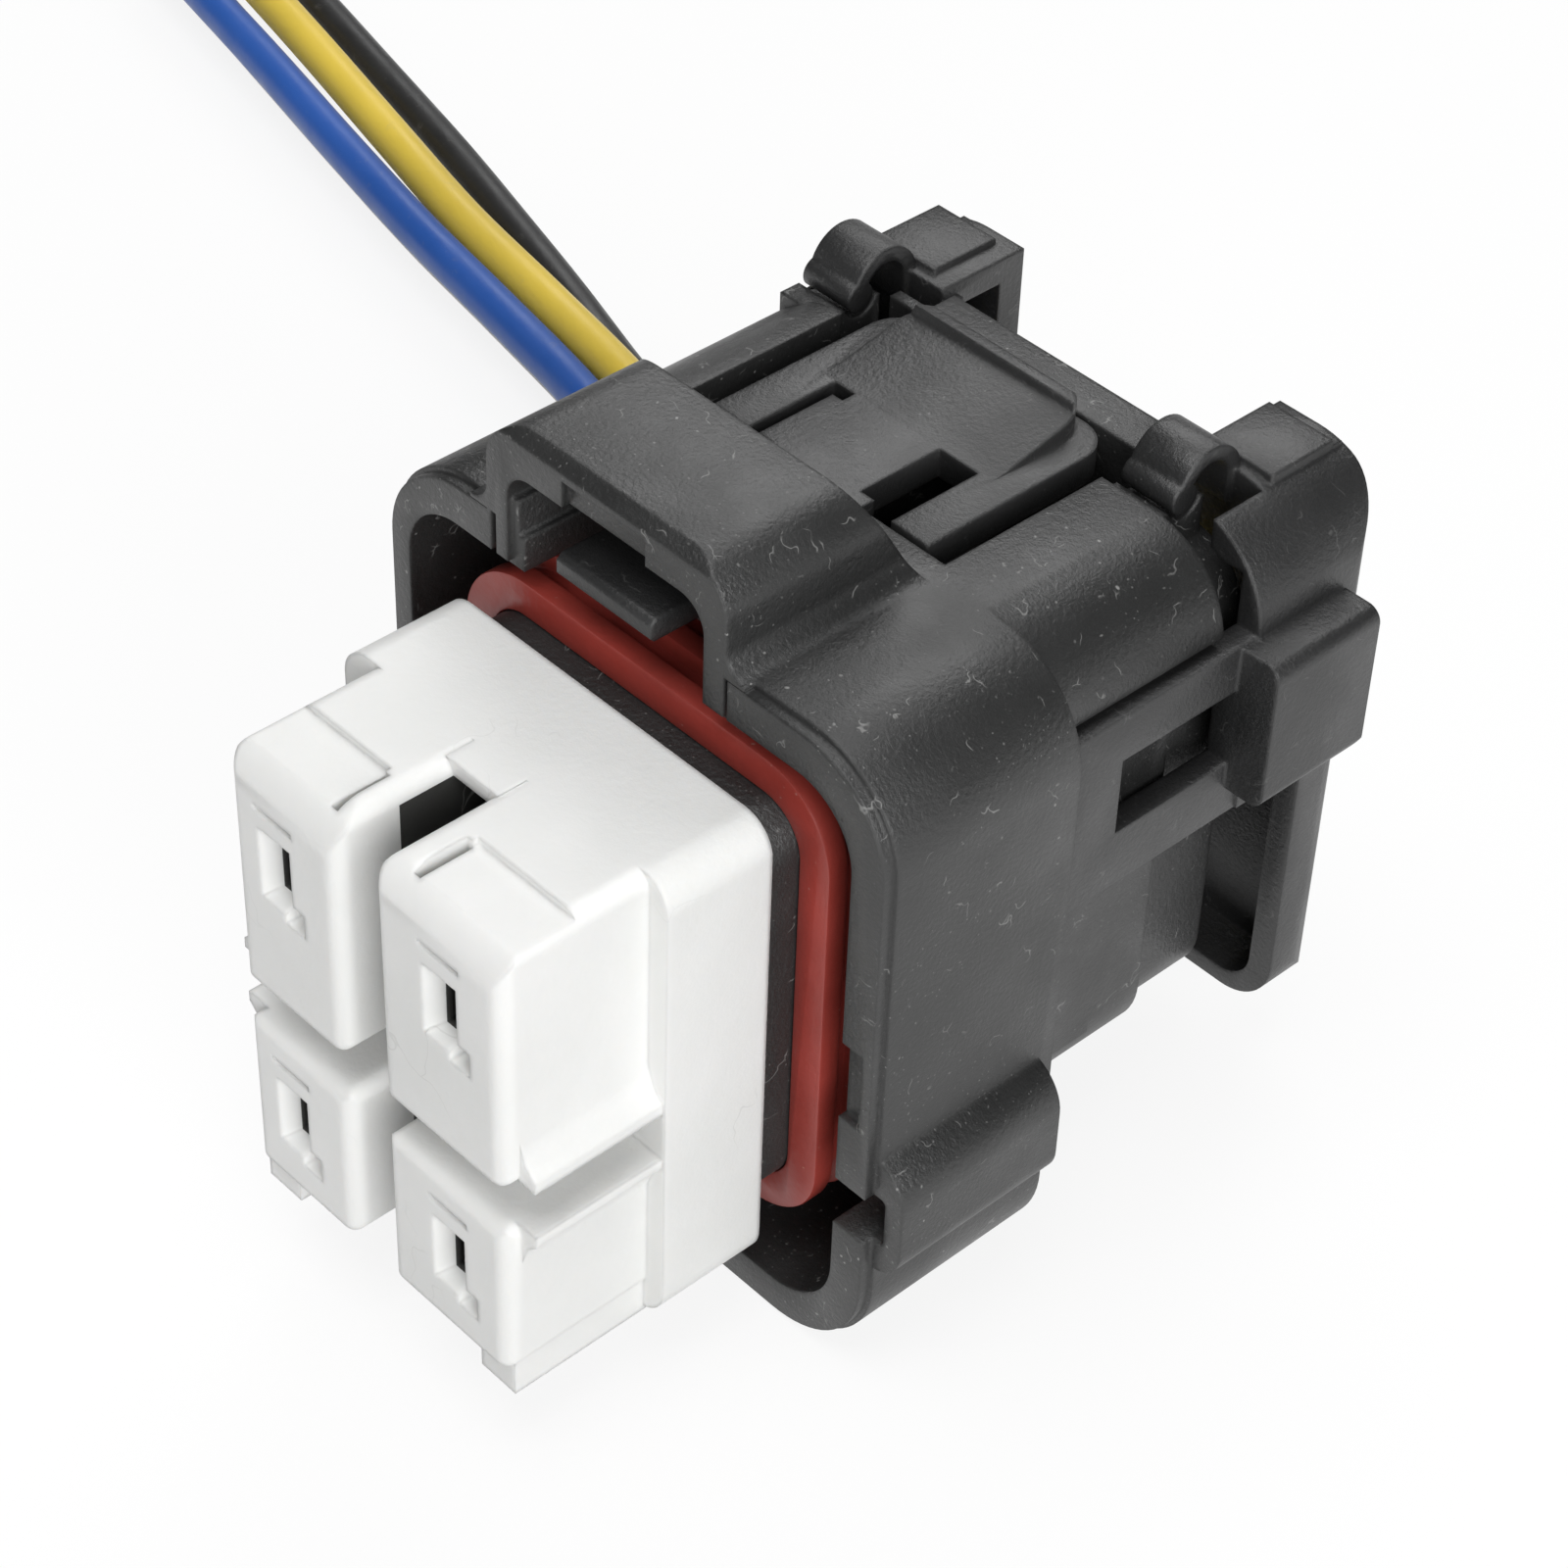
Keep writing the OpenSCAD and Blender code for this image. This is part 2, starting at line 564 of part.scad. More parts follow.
// The way for a terminal, its tab opening, the lead-in, the probe notch and the line above.
module socket() {
    lead = 1.1;
    box3(-cavity_w / 2, cavity_w / 2, tower_front + 1.3, holder_back + over, -cavity_h / 2, cavity_h / 2);
    box3(-tab_w / 2, tab_w / 2, tower_front - over, tower_front + 2, -tab_h / 2, tab_h / 2);
    hull() {
        box3(-tab_w / 2, tab_w / 2, tower_front + 0.8, tower_front + 0.9, -tab_h / 2, tab_h / 2);
        box3(-tab_w / 2 - 0.5, tab_w / 2 + 0.5, tower_front - 0.1, tower_front,
            -tab_h / 2 - 0.4, tab_h / 2 + lead);
    }
    box3(tab_w / 2 - 0.1, tab_w / 2 + 1.3, tower_front - over, tower_front + 0.9,
        -tab_h / 2 - 0.9, -tab_h / 2 + 0.5);
    box3(-1.35, 1.35, tower_front - over, tower_front + 0.25, tab_h / 2 + 2, tab_h / 2 + 2.3);
}

module front_holder() {
    color(white) translate([0, rim_y, 0]) holder_solid();
}

// ---- seals ----
module perimeter_seal() {
    front = 0.9;
    lips = [front, front + 2.4, front + seal_len - 1.2];
    color(red) translate([0, rim_y, 0]) difference() {
        union() {
            along_y(front, front + seal_len) core_outline(seal_t);
            for (y = lips) along_y(y, y + 1.2) core_outline(seal_t + lip_out);
        }
        along_y(front - over, front + seal_len + over) core_outline(slip / 2);
    }
}

// A ribbed plug round one lead.
module wire_seal(x, z) {
    long = seal_bore_len - 1.6;
    core_r = plug_r - 0.45;
    hole_r = lead_d / 2 + slip / 2;
    rib = 0.9;
    color(red) translate([x, rim_y + bore_y + 0.3, z]) rotate([-90, 0, 0])
        rotate_extrude()
            polygon([[hole_r, 0], [core_r, 0], [core_r, 0.6], [plug_r, 0.9], [plug_r, 0.6 + rib],
                [core_r, 1.9],
                [core_r, 2.6], [plug_r, 2.9], [plug_r, 2.6 + rib], [core_r, 3.9],
                [core_r, 4.6], [plug_r, 4.9], [plug_r, 4.6 + rib], [core_r, 5.9],
                [core_r, long], [hole_r, long]]);
}

// ---- terminals ----
module terminal(x, z) {
    color(tin) translate([x, rim_y, z]) difference() {
        union() {
            // folded box
            along_y(box_front, box_back) difference() {
                translate([-box_w / 2, -box_h / 2]) square([box_w, box_h]);
                translate([-box_w / 2 + sheet_t, -box_h / 2 + sheet_t])
                    square([box_w - 2 * sheet_t, box_h - 2 * sheet_t]);
            }
            // floor strip that carries the crimps
            box3(-0.9, 0.9, box_back - 0.5, grip_y + grip_len, -lead_d / 2 - sheet_t, -lead_d / 2);
            // conductor crimp and insulation grip
            crimp_barrel(crimp_y, crimp_len, 1);
            crimp_barrel(grip_y, grip_len, lead_d / 2 + slip / 2);
        }
        box3(-0.5, 0.5, box_back - 3.4, box_back - 1.6, box_h / 2 - 1, box_h);
    }
}

// A round crimp barrel whose underside reaches the floor strip.
module crimp_barrel(y0, long, r) {
    z0 = r - lead_d / 2 - slip / 2;
    along_y(y0, y0 + long) translate([0, z0]) difference() {
        circle(r + sheet_t);
        circle(r);
    }
}

// The leaf spring that presses a tab against the side of the box.
module contact_spring(x, z) {
    wall_x = box_w / 2 - sheet_t;
    wide = box_h - 2 * sheet_t - 0.8;
    color([0.72, 0.6, 0.38]) translate([x, rim_y, z - wide / 2])
        linear_extrude(wide)
            polygon([[wall_x, box_front + 0.6], [wall_x, box_back - 0.6], [wall_x - 0.25, box_back - 0.6],
                [wall_x - 0.25, box_back - 2], [wall_x - 0.95, box_front + 4.2], [wall_x - 0.95,
                    box_front + 3.4],
                [wall_x - 0.25, box_front + 1.6], [wall_x - 0.25, box_front + 0.6]]);
}

// ---- lock lever ----
module lock_lever() {
    top = hood_h;
    low = top - lever_t;
    rail_in = lever_w / 2 - rail_w;
    front = pivot_y + gap;
    pad_front = pad_y - 6.6;
    pad_x = lever_w / 2 - 1.5;
    lip_end = pad_y - 0.1;
    lip_y = lip_end - 1;
    tip_low = low + 0.4;
    shift = 0.9;                             // the tongue's rear half stands to the left
    color(black) translate([lock_off, rim_y, 0]) {
        difference() {
            union() {
                // rails and cross bar behind them
                for (s = [-1, 1])
                    box3(s < 0 ? -lever_w / 2 : rail_in, s < 0 ? -rail_in : lever_w / 2, front,
                        pad_y - 2, low, top);
                translate([0, 0, low]) linear_extrude(lever_t)
                    intersection() {
                        plate(-lever_w / 2, lever_w / 2, pad_front - 0.2, pad_y, 0.1, 2);
                        translate([-lever_w, pad_front]) square([2 * lever_w, 20]);
                    }
                // press pad: a wedge that rises to a lip at its rear
                intersection() {
                    translate([0, 0, low]) linear_extrude(lever_t + pad_up + pad_lip)
                        plate(-pad_x, pad_x, pad_front, lip_end, 0.4, 1.8);
                    along_x(-pad_x, pad_x)
                        polygon([[pad_front, low], [pad_front, top], [pad_front + 1, top + 0.05],
                            [lip_y, top + pad_up],
                            [lip_y + 0.2, top + pad_up + pad_lip], [lip_end - 0.2, top + pad_up + pad_lip],
                            [lip_end, top + pad_up + pad_lip - 0.2], [lip_end, low]]);
                }
                // tongue under the guard, with the bar at its tip
                box3(-tongue_w / 2 - shift, tongue_w / 2 - shift, front, pad_front + 0.5, low, top);
                box3(-tongue_w / 2, tongue_w / 2, 3, front + 0.5, low, top);
                along_x(-tongue_w / 2, tongue_w / 2)
                    polygon([[0, tip_low + 0.2], [0.2, tip_low], [3.4, tip_low], [3.4, top], [0.3,
                        top], [0, top - 0.3]]);
            }
            // wider end of the narrow slot beside the tongue
            box3(-rail_in, -rail_in + 1.35, pad_front - 0.8, pad_front, low - over, top + over);
        }
    }
}

// ---- rear cover ----
module cover_plan(g) {
    x = flank_x - g;
    y1 = body_len - g;
    r = cover_r - g;
    polygon([[-x, hood_len], [x, hood_len], [x, y1 - r], [x - r, y1], [-x + r, y1], [-x, y1 - r]]);
    for (s = [-1, 1]) translate([s * (x - r), y1 - r]) circle(r);
}

module cover_shell() {
    top_r = 5;
    difference() {
        intersection() {
            along_y(hood_len, body_len) plate(-flank_x, flank_x, cover_low, hood_h, 3, top_r);
            translate([0, 0, cover_low - 1]) linear_extrude(hood_h) cover_plan(0);
        }
        intersection() {
            along_y(hood_len - over, body_len)
                plate(-flank_x + cover_t, flank_x - cover_t, cover_low + 1, hood_h - cover_t, 1.8,
                    top_r - cover_t);
            translate([0, 0, cover_low - 1]) linear_extrude(hood_h) cover_plan(cover_t);
        }
    }
}

// A loop from its root barrel on the housing to an ear of the cover.
module strap() {
    mid = strap_off + strap_pitch / 2;
    for (x = [strap_off - strap_pitch / 2, mid]) {
        along_x(x - strap_w / 2, x + strap_w / 2) {
            intersection() {
                difference() {
                    translate([loop_y, strap_z]) circle(strap_r + strap_t);
                    translate([loop_y, strap_z]) circle(strap_r);
                }
                translate([loop_y - 5, strap_z]) square([10, 5]);
            }
            translate([loop_y + strap_r, strap_z - 1.6]) square([strap_t, 1.7]);
        }
        translate([x, strap_y, strap_z]) rotate([0, 90, 0])
            cylinder(h = strap_w, r = root_r, center = true);
    }
}

module snap_arm() {
    window_z = arm_low + (arm_h - window_h) * 0.55;
    window_y = hood_len + 4.1;
    difference() {
        box3(arm_x, arm_x + arm_t, hood_len + 0.4, flank_y + 1, arm_low, arm_top);
        box3(arm_x - over, arm_x + arm_t + over, window_y, window_y + window_len, window_z,
            window_z + window_h);
    }
}

module grip_block() {
    y0 = flank_y - 1;
    z0 = arm_low + 1.8;
    difference() {
        along_y(y0, y0 + block_len) plate(arm_x, flank_x + block_out, z0, z0 + block_h, 0.8, 0.8);
        translate([flank_x - 1, y0 + block_len - 1.6, z0 - 0.1])
            along_x(0, 5) polygon([[0.4, 0], [2.4, 0], [2.4, 1.2]]);
    }
}

module rear_cover() {
    ear_in = 8.4;
    ear_out = 12.4;
    ear_shift = 1.2;                         // the left ear stands further out, behind its strap
    ear_y = loop_y + strap_r + 0.3;
    strap_x = strap_off - strap_pitch / 2 - strap_w / 2;
    top = 2 * hood_h;                        // well above the cover
    color(black) translate([0, rim_y, 0]) {
        difference() {
            union() {
                difference() {
                    cover_shell();
                    // open front of the shell: the side walls start at the flanks
                    box3(-half_w, half_w, hood_len - 1, flank_y, 0, top);
                    box3(-half_w, half_w, hood_len - 1, flank_y + 4.6, 0, arm_low);
                    // low middle of the rear wall, and the front of the cover's top
                    box3(-ear_in, ear_in, hood_len, body_len + over, sill_h, top);
                    box3(strap_x - gap - slip, ear_out, hood_len, ear_y, sill_h + 1.5, top);
                    // outlet for the leads on the left
                    box3(-half_w, -8, hood_len, body_len - cover_t, cover_low - over, 17.6);
                }
                // ears that the straps end on
                box3(ear_in, ear_out, ear_y + 0.6, body_len - 0.8, ear_h - 2.4, ear_h);
                box3(-ear_out - ear_shift, -ear_in - ear_shift, ear_y + 0.6, body_len - 0.8,
                    ear_h - 2.4, ear_h);
                both_sides() box3(ear_in, ear_out, body_len - cover_t - 0.2, body_len - 0.2,
                    sill_h - 1, hood_h);
                // webs under the straps and ears
                box3(ear_in - 0.4, ear_out + 0.6, ear_y, ear_y + 1.1, sill_h - 1, ear_h - 1);
                box3(strap_x, -ear_in + 0.4, ear_y, ear_y + 1.1, sill_h - 1, ear_h - 1);
                both_sides() {
                    snap_arm();
                    grip_block();
                }
                strap();
            }
            // the inside of the side walls stays clear of the housing
            box3(-arm_x, arm_x, flank_y - 2, ear_y - 0.4, cover_low - 1, ear_h - 2.4);
        }
    }
}

// ---- one node for each sub-part ----
housing();
front_holder();
perimeter_seal();
lock_lever();
rear_cover();
terminal(columns[0], rows[1]);  // terminal_upper_left
terminal(columns[1], rows[1]);  // terminal_upper_right
terminal(columns[0], rows[0]);  // terminal_lower_left
terminal(columns[1], rows[0]);  // terminal_lower_right
contact_spring(columns[0], rows[1]);  // spring_upper_left
contact_spring(columns[1], rows[1]);  // spring_upper_right
contact_spring(columns[0], rows[0]);  // spring_lower_left
contact_spring(columns[1], rows[0]);  // spring_lower_right
wire_seal(columns[0], rows[1]);  // wire_seal_upper_left
wire_seal(columns[1], rows[1]);  // wire_seal_upper_right
wire_seal(columns[0], rows[0]);  // wire_seal_lower_left
wire_seal(columns[1], rows[0]);  // wire_seal_lower_right
color([0.18, 0.36, 0.7]) tube(blue_route, lead_d / 2);  // lead_blue
color([0.93, 0.8, 0.3]) tube(yellow_route, lead_d / 2);  // lead_yellow
color([0.88, 0.88, 0.86]) tube(white_route, lead_d / 2);  // lead_white
color([0.1, 0.1, 0.1]) tube(black_route, lead_d / 2);  // lead_black
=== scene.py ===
import json
import logging
import math
from dataclasses import dataclass
from enum import Enum
from typing import Iterable, Sequence

import bmesh
import bpy
from mathutils import Matrix, Vector

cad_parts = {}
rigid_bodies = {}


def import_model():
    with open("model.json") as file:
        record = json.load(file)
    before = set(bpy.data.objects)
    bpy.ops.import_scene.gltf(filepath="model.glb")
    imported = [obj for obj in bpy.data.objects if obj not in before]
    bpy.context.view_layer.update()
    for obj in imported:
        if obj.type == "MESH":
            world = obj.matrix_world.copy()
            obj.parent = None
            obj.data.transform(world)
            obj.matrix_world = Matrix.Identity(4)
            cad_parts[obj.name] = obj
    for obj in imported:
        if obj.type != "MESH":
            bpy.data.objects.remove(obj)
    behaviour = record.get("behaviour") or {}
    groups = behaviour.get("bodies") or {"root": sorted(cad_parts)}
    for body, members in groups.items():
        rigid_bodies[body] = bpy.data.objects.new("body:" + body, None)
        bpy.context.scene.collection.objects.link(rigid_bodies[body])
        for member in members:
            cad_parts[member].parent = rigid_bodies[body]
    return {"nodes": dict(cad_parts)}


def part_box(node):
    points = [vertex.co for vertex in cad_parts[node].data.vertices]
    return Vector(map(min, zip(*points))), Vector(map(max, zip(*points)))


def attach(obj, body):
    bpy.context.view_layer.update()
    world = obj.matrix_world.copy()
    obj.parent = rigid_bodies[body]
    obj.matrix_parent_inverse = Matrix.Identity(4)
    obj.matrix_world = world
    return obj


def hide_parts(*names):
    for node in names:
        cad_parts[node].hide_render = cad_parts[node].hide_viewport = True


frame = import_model()

LOG = logging.getLogger("connector")
MM = 0.001

Point = tuple[float, float, float]
Colour = tuple[float, float, float]
Socket = bpy.types.NodeSocket

# Vertices nearer than this are one, in metres
MERGE = 0.000002
# Faces that turn less than this are one flat face, in degrees
FLAT = 0.6
# Edges that turn more than this are rounded, in degrees
SHARP = 28.0
# Faces that turn less than this are shaded as one curve, in degrees
SMOOTH = 35.0
# How much a large face's own normal counts, in percent
FACE_WEIGHT = 90
# Samples of a shaded edge; more are smoother and slower
BEVEL_SAMPLES = 4

CORNERS = ("upper_left", "upper_right", "lower_left", "lower_right")


class Body(Enum):
    """The rigid bodies that pieces ride on."""

    HOUSING = "housing"
    LEVER = "lock_lever"
    COVER = "rear_cover"


# --------------------------------------------------------------------------
# Node helpers
# --------------------------------------------------------------------------
class Shader:
    """A material's node tree, built one node at a time."""

    def __init__(self, name: str) -> None:
        """Starts a material with an empty tree and a Principled shader.

        Args:
            name: the material's name.
        """
        self.material = bpy.data.materials.new(name)
        self.material.use_nodes = True
        self.tree = self.material.node_tree
        self.tree.nodes.clear()
        self.out = self.tree.nodes.new("ShaderNodeOutputMaterial")
        self.bsdf = self.tree.nodes.new("ShaderNodeBsdfPrincipled")
        self.link(self.bsdf.outputs["BSDF"], self.out.inputs["Surface"])
        self.place = self.tree.nodes.new("ShaderNodeTexCoord").outputs["Object"]

    def link(self, source: Socket, target: Socket) -> None:
        """Links two sockets."""
        self.tree.links.new(source, target)

    def feed(self, socket: Socket, value: object) -> None:
        """Sets a socket to a number or a colour, or links another socket to it.

        Args:
            socket: the input that is set.
            value: a number, a colour or an output socket.
        """
        if isinstance(value, Socket):
            self.link(value, socket)
        elif isinstance(value, (tuple, list)) and len(value) == 3 and socket.type == "RGBA":
            socket.default_value = (*value, 1.0)
        else:
            socket.default_value = value

    def noise(self, scale: float, detail: float = 3.0, rough: float = 0.5,
              where: object = None) -> Socket:
        """Adds a noise texture.

        Args:
            scale: how many features there are in a metre.
            detail: octaves of detail.
            rough: how much the fine octaves count.
            where: the coordinates, or None for the object's own.

        Returns:
            The noise's value.
        """
        node = self.tree.nodes.new("ShaderNodeTexNoise")
        node.inputs["Scale"].default_value = scale
        node.inputs["Detail"].default_value = detail
        node.inputs["Roughness"].default_value = rough
        self.link(where or self.place, node.inputs["Vector"])
        return node.outputs["Fac"]

    def warped(self, scale: float, amount: float) -> Socket:
        """Pushes the object's coordinates about by noise.

        Args:
            scale: how many bends there are in a metre.
            amount: how far a point is pushed, in metres.

        Returns:
            The bent coordinates.
        """
        node = self.tree.nodes.new("ShaderNodeTexNoise")
        node.inputs["Scale"].default_value = scale
        node.inputs["Detail"].default_value = 2.0
        self.link(self.place, node.inputs["Vector"])
        centred = self.vector("SUBTRACT", node.outputs["Color"], (0.5, 0.5, 0.5))
        return self.vector("ADD", self.place, self.vector("SCALE", centred, amount))

    def vector(self, kind: str, a: object, b: object) -> Socket:
        """Adds a vector operation.

        Args:
            kind: the operation.
            a: the first vector.
            b: the second vector, or the factor of SCALE.

        Returns:
            The operation's result.
        """
        node = self.tree.nodes.new("ShaderNodeVectorMath")
        node.operation = kind
        self.feed(node.inputs[0], a)
        self.feed(node.inputs["Scale"] if kind == "SCALE" else node.inputs[1], b)
        return node.outputs[0]

    def cells(self, scale: float, feature: str, where: object = None) -> Socket:
        """Adds a Voronoi texture.

        Args:
            scale: how many cells there are in a metre.
            feature: F1 or DISTANCE_TO_EDGE.
            where: the coordinates, or None for the object's own.

        Returns:
            The distance to the cell's point or edge.
        """
        node = self.tree.nodes.new("ShaderNodeTexVoronoi")
        node.feature = feature
        node.inputs["Scale"].default_value = scale
        self.link(where or self.place, node.inputs["Vector"])
        return node.outputs["Distance"]

    def ramp(self, value: object, low: float, high: float, to_low: float = 0.0,
             to_high: float = 1.0) -> Socket:
        """Maps a value from one range to another, clamped.

        Args:
            value: the input.
            low: the input's low end.
            high: the input's high end.
            to_low: the result at the low end.
            to_high: the result at the high end.

        Returns:
            The mapped value.
        """
        node = self.tree.nodes.new("ShaderNodeMapRange")
        self.feed(node.inputs["Value"], value)
        for name, number in (("From Min", low), ("From Max", high), ("To Min", to_low), ("To Max", to_high)):
            node.inputs[name].default_value = number
        return node.outputs["Result"]

    def maths(self, kind: str, a: object, b: object) -> Socket:
        """Adds a maths operation on two values.

        Args:
            kind: the operation.
            a: the first value.
            b: the second value.

        Returns:
            The operation's result.
        """
        node = self.tree.nodes.new("ShaderNodeMath")
        node.operation = kind
        self.feed(node.inputs[0], a)
        self.feed(node.inputs[1], b)
        return node.outputs[0]

    def mix(self, amount: object, a: object, b: object) -> Socket:
        """Mixes two colours.

        Args:
            amount: how much the second colour counts.
            a: the first colour.
            b: the second colour.

        Returns:
            The mixed colour.
        """
        node = self.tree.nodes.new("ShaderNodeMix")
        node.data_type = "RGBA"
        self.feed(node.inputs["Factor"], amount)
        self.feed(node.inputs[6], a)
        self.feed(node.inputs[7], b)
        return node.outputs[2]

    def bump(self, height: object, depth: float, below: object = None,
             strength: float = 1.0) -> Socket:
        """Adds a bump.

        Args:
            height: the height map, from 0 to 1.
            depth: how high 1 is, in metres.
            below: the normal of the layer below, if any.
            strength: how much the layer counts.

        Returns:
            The bumped normal.
        """
        node = self.tree.nodes.new("ShaderNodeBump")
        node.inputs["Strength"].default_value = strength
        node.inputs["Distance"].default_value = depth
        self.feed(node.inputs["Height"], height)
        if below is not None:
            self.link(below, node.inputs["Normal"])
        return node.outputs["Normal"]

    def soft_edges(self, radius: float) -> Socket:
        """Adds a bevel, which shades edges as if they were rounded.

        Args:
            radius: the rounding, in metres.

        Returns:
            The rounded normal.
        """
        node = self.tree.nodes.new("ShaderNodeBevel")
        node.samples = BEVEL_SAMPLES
        node.inputs["Radius"].default_value = radius
        return node.outputs["Normal"]


# --------------------------------------------------------------------------
# Finishes
# --------------------------------------------------------------------------
@dataclass(frozen=True)
class MouldedPlastic:
    """Satin moulded plastic with a fine spark-eroded grain, lint and dust on it.

    Scales count features in a metre, and depths and widths are in metres.
    """

    name: str
    colour: Colour
    dust: Colour = (0.4, 0.4, 0.39)
    roughness: float = 0.4
    specular: float = 0.75
    lint: float = 0.55
    soft: float = 0.00028
    cloud_scale: float = 90.0
    pale_scale: float = 5200.0
    thread_scale: float = 330.0
    thread_bends: float = 620.0
    thread_bits: float = 820.0
    speck_scale: float = 1100.0
    speck_bends: float = 500.0
    speck_patches: float = 90.0
    powder_scale: float = 2600.0
    powder_bends: float = 900.0
    powder_patches: float = 210.0
    uneven_scale: float = 240.0
    grain_scale: float = 3800.0
    grain_depth: float = 0.000045
    wave_scale: float = 55.0
    wave_depth: float = 0.00006

    def shade(self, s: Shader) -> Socket:
        """Adds the clean plastic's colour, cloudy and with paler grains.

        Args:
            s: the material's node tree.

        Returns:
            The colour.
        """
        cloud = s.ramp(s.noise(self.cloud_scale, 4.0), 0.35, 0.7)
        cloudy = s.mix(cloud, self.colour, tuple(1.35 * c for c in self.colour))
        grains = s.ramp(s.noise(self.pale_scale, 2.0, 0.6), 0.45, 0.75, 0.0, 0.25)
        return s.mix(grains, cloudy, tuple(1.8 * c for c in self.colour))

    def threads(self, s: Shader) -> Socket:
        """Adds short bent threads of lint.

        Args:
            s: the material's node tree.

        Returns:
            How much of the surface they cover.
        """
        bent = s.warped(self.thread_bends, 0.003)
        lines = s.ramp(s.cells(self.thread_scale, "DISTANCE_TO_EDGE", bent), 0.004, 0.015, 0.6, 0.0)
        return s.maths("MULTIPLY", lines, s.ramp(s.noise(self.thread_bits, 1.0), 0.6, 0.66))

    def specks(self, s: Shader) -> Socket:
        """Adds bright specks of dust.

        Args:
            s: the material's node tree.

        Returns:
            How much of the surface they cover.
        """
        bent = s.warped(self.speck_bends, 0.001)
        dots = s.ramp(s.cells(self.speck_scale, "F1", bent), 0.05, 0.1, 1.0, 0.0)
        return s.maths("MULTIPLY", dots, s.ramp(s.noise(self.speck_patches, 2.0), 0.48, 0.62))

    def powder(self, s: Shader) -> Socket:
        """Adds finer and fainter dust, which lies in patches.

        Args:
            s: the material's node tree.

        Returns:
            How much of the surface it covers.
        """
        bent = s.warped(self.powder_bends, 0.0006)
        dots = s.ramp(s.cells(self.powder_scale, "F1", bent), 0.06, 0.16, 0.55, 0.0)
        return s.maths("MULTIPLY", dots, s.ramp(s.noise(self.powder_patches, 2.0), 0.42, 0.6))

    def make(self) -> bpy.types.Material:
        """Makes the finish.

        Returns:
            The material.
        """
        s = Shader(self.name)
        marks = s.maths("MAXIMUM", self.threads(s), self.specks(s))
        marks = s.maths("MULTIPLY", s.maths("MAXIMUM", marks, self.powder(s)), self.lint)
        s.feed(s.bsdf.inputs["Base Color"], s.mix(marks, self.shade(s), self.dust))
        uneven = s.noise(self.uneven_scale, 3.0)
        rough = s.ramp(uneven, 0.3, 0.7, self.roughness - 0.05, self.roughness + 0.09)
        s.feed(s.bsdf.inputs["Roughness"], s.maths("MAXIMUM", rough, s.maths("MULTIPLY", marks, 0.9)))
        normal = s.bump(s.noise(self.grain_scale, 3.0, 0.65), self.grain_depth, s.soft_edges(self.soft))
        normal = s.bump(s.noise(self.wave_scale, 2.0), self.wave_depth, normal, 0.6)
        s.feed(s.bsdf.inputs["Normal"], normal)
        s.bsdf.inputs["Specular IOR Level"].default_value = self.specular
        return s.material


@dataclass(frozen=True)
class WhitePlastic:
    """Off-white engineering plastic, slightly translucent, with faint flow marks.

    Scales count features in a metre, and depths and widths are in metres.
    """

    name: str
    colour: Colour = (0.8, 0.8, 0.79)
    shade: Colour = (0.72, 0.725, 0.71)
    scuff: Colour = (0.5, 0.5, 0.48)
    soft: float = 0.0004
    flow_scale: float = 70.0
    flow_bends: float = 60.0
    scuff_scale: float = 160.0
    scuff_bends: float = 300.0
    scuff_bits: float = 140.0
    uneven_scale: float = 300.0
    grain_scale: float = 2600.0
    grain_depth: float = 0.00002
    wave_scale: float = 120.0
    wave_depth: float = 0.00005
    glow: float = 0.12
    glow_reach: Colour = (0.0012, 0.001, 0.0008)

    def scuffs(self, s: Shader) -> Socket:
        """Adds faint grey scuffs.

        Args:
            s: the material's node tree.

        Returns:
            How much of the surface they cover.
        """
        bent = s.warped(self.scuff_bends, 0.006)
        lines = s.ramp(s.cells(self.scuff_scale, "DISTANCE_TO_EDGE", bent), 0.003, 0.009, 1.0, 0.0)
        return s.maths("MULTIPLY", lines, s.ramp(s.noise(self.scuff_bits, 1.0), 0.6, 0.68, 0.0, 0.35))

    def make(self) -> bpy.types.Material:
        """Makes the finish.

        Returns:
            The material.
        """
        s = Shader(self.name)
        flow = s.noise(self.flow_scale, 4.0, 0.6, s.warped(self.flow_bends, 0.01))
        base = s.mix(s.ramp(flow, 0.3, 0.75), self.colour, self.shade)
        s.feed(s.bsdf.inputs["Base Color"], s.mix(self.scuffs(s), base, self.scuff))
        s.feed(s.bsdf.inputs["Roughness"], s.ramp(s.noise(self.uneven_scale, 3.0), 0.3, 0.7, 0.4, 0.52))
        normal = s.bump(s.noise(self.grain_scale, 3.0, 0.6), self.grain_depth, s.soft_edges(self.soft))
        normal = s.bump(s.noise(self.wave_scale, 2.0), self.wave_depth, normal, 0.5)
        s.feed(s.bsdf.inputs["Normal"], normal)
        s.bsdf.inputs["Subsurface Weight"].default_value = self.glow
        s.bsdf.inputs["Subsurface Radius"].default_value = self.glow_reach
        s.bsdf.inputs["Subsurface Scale"].default_value = 1.0
        return s.material


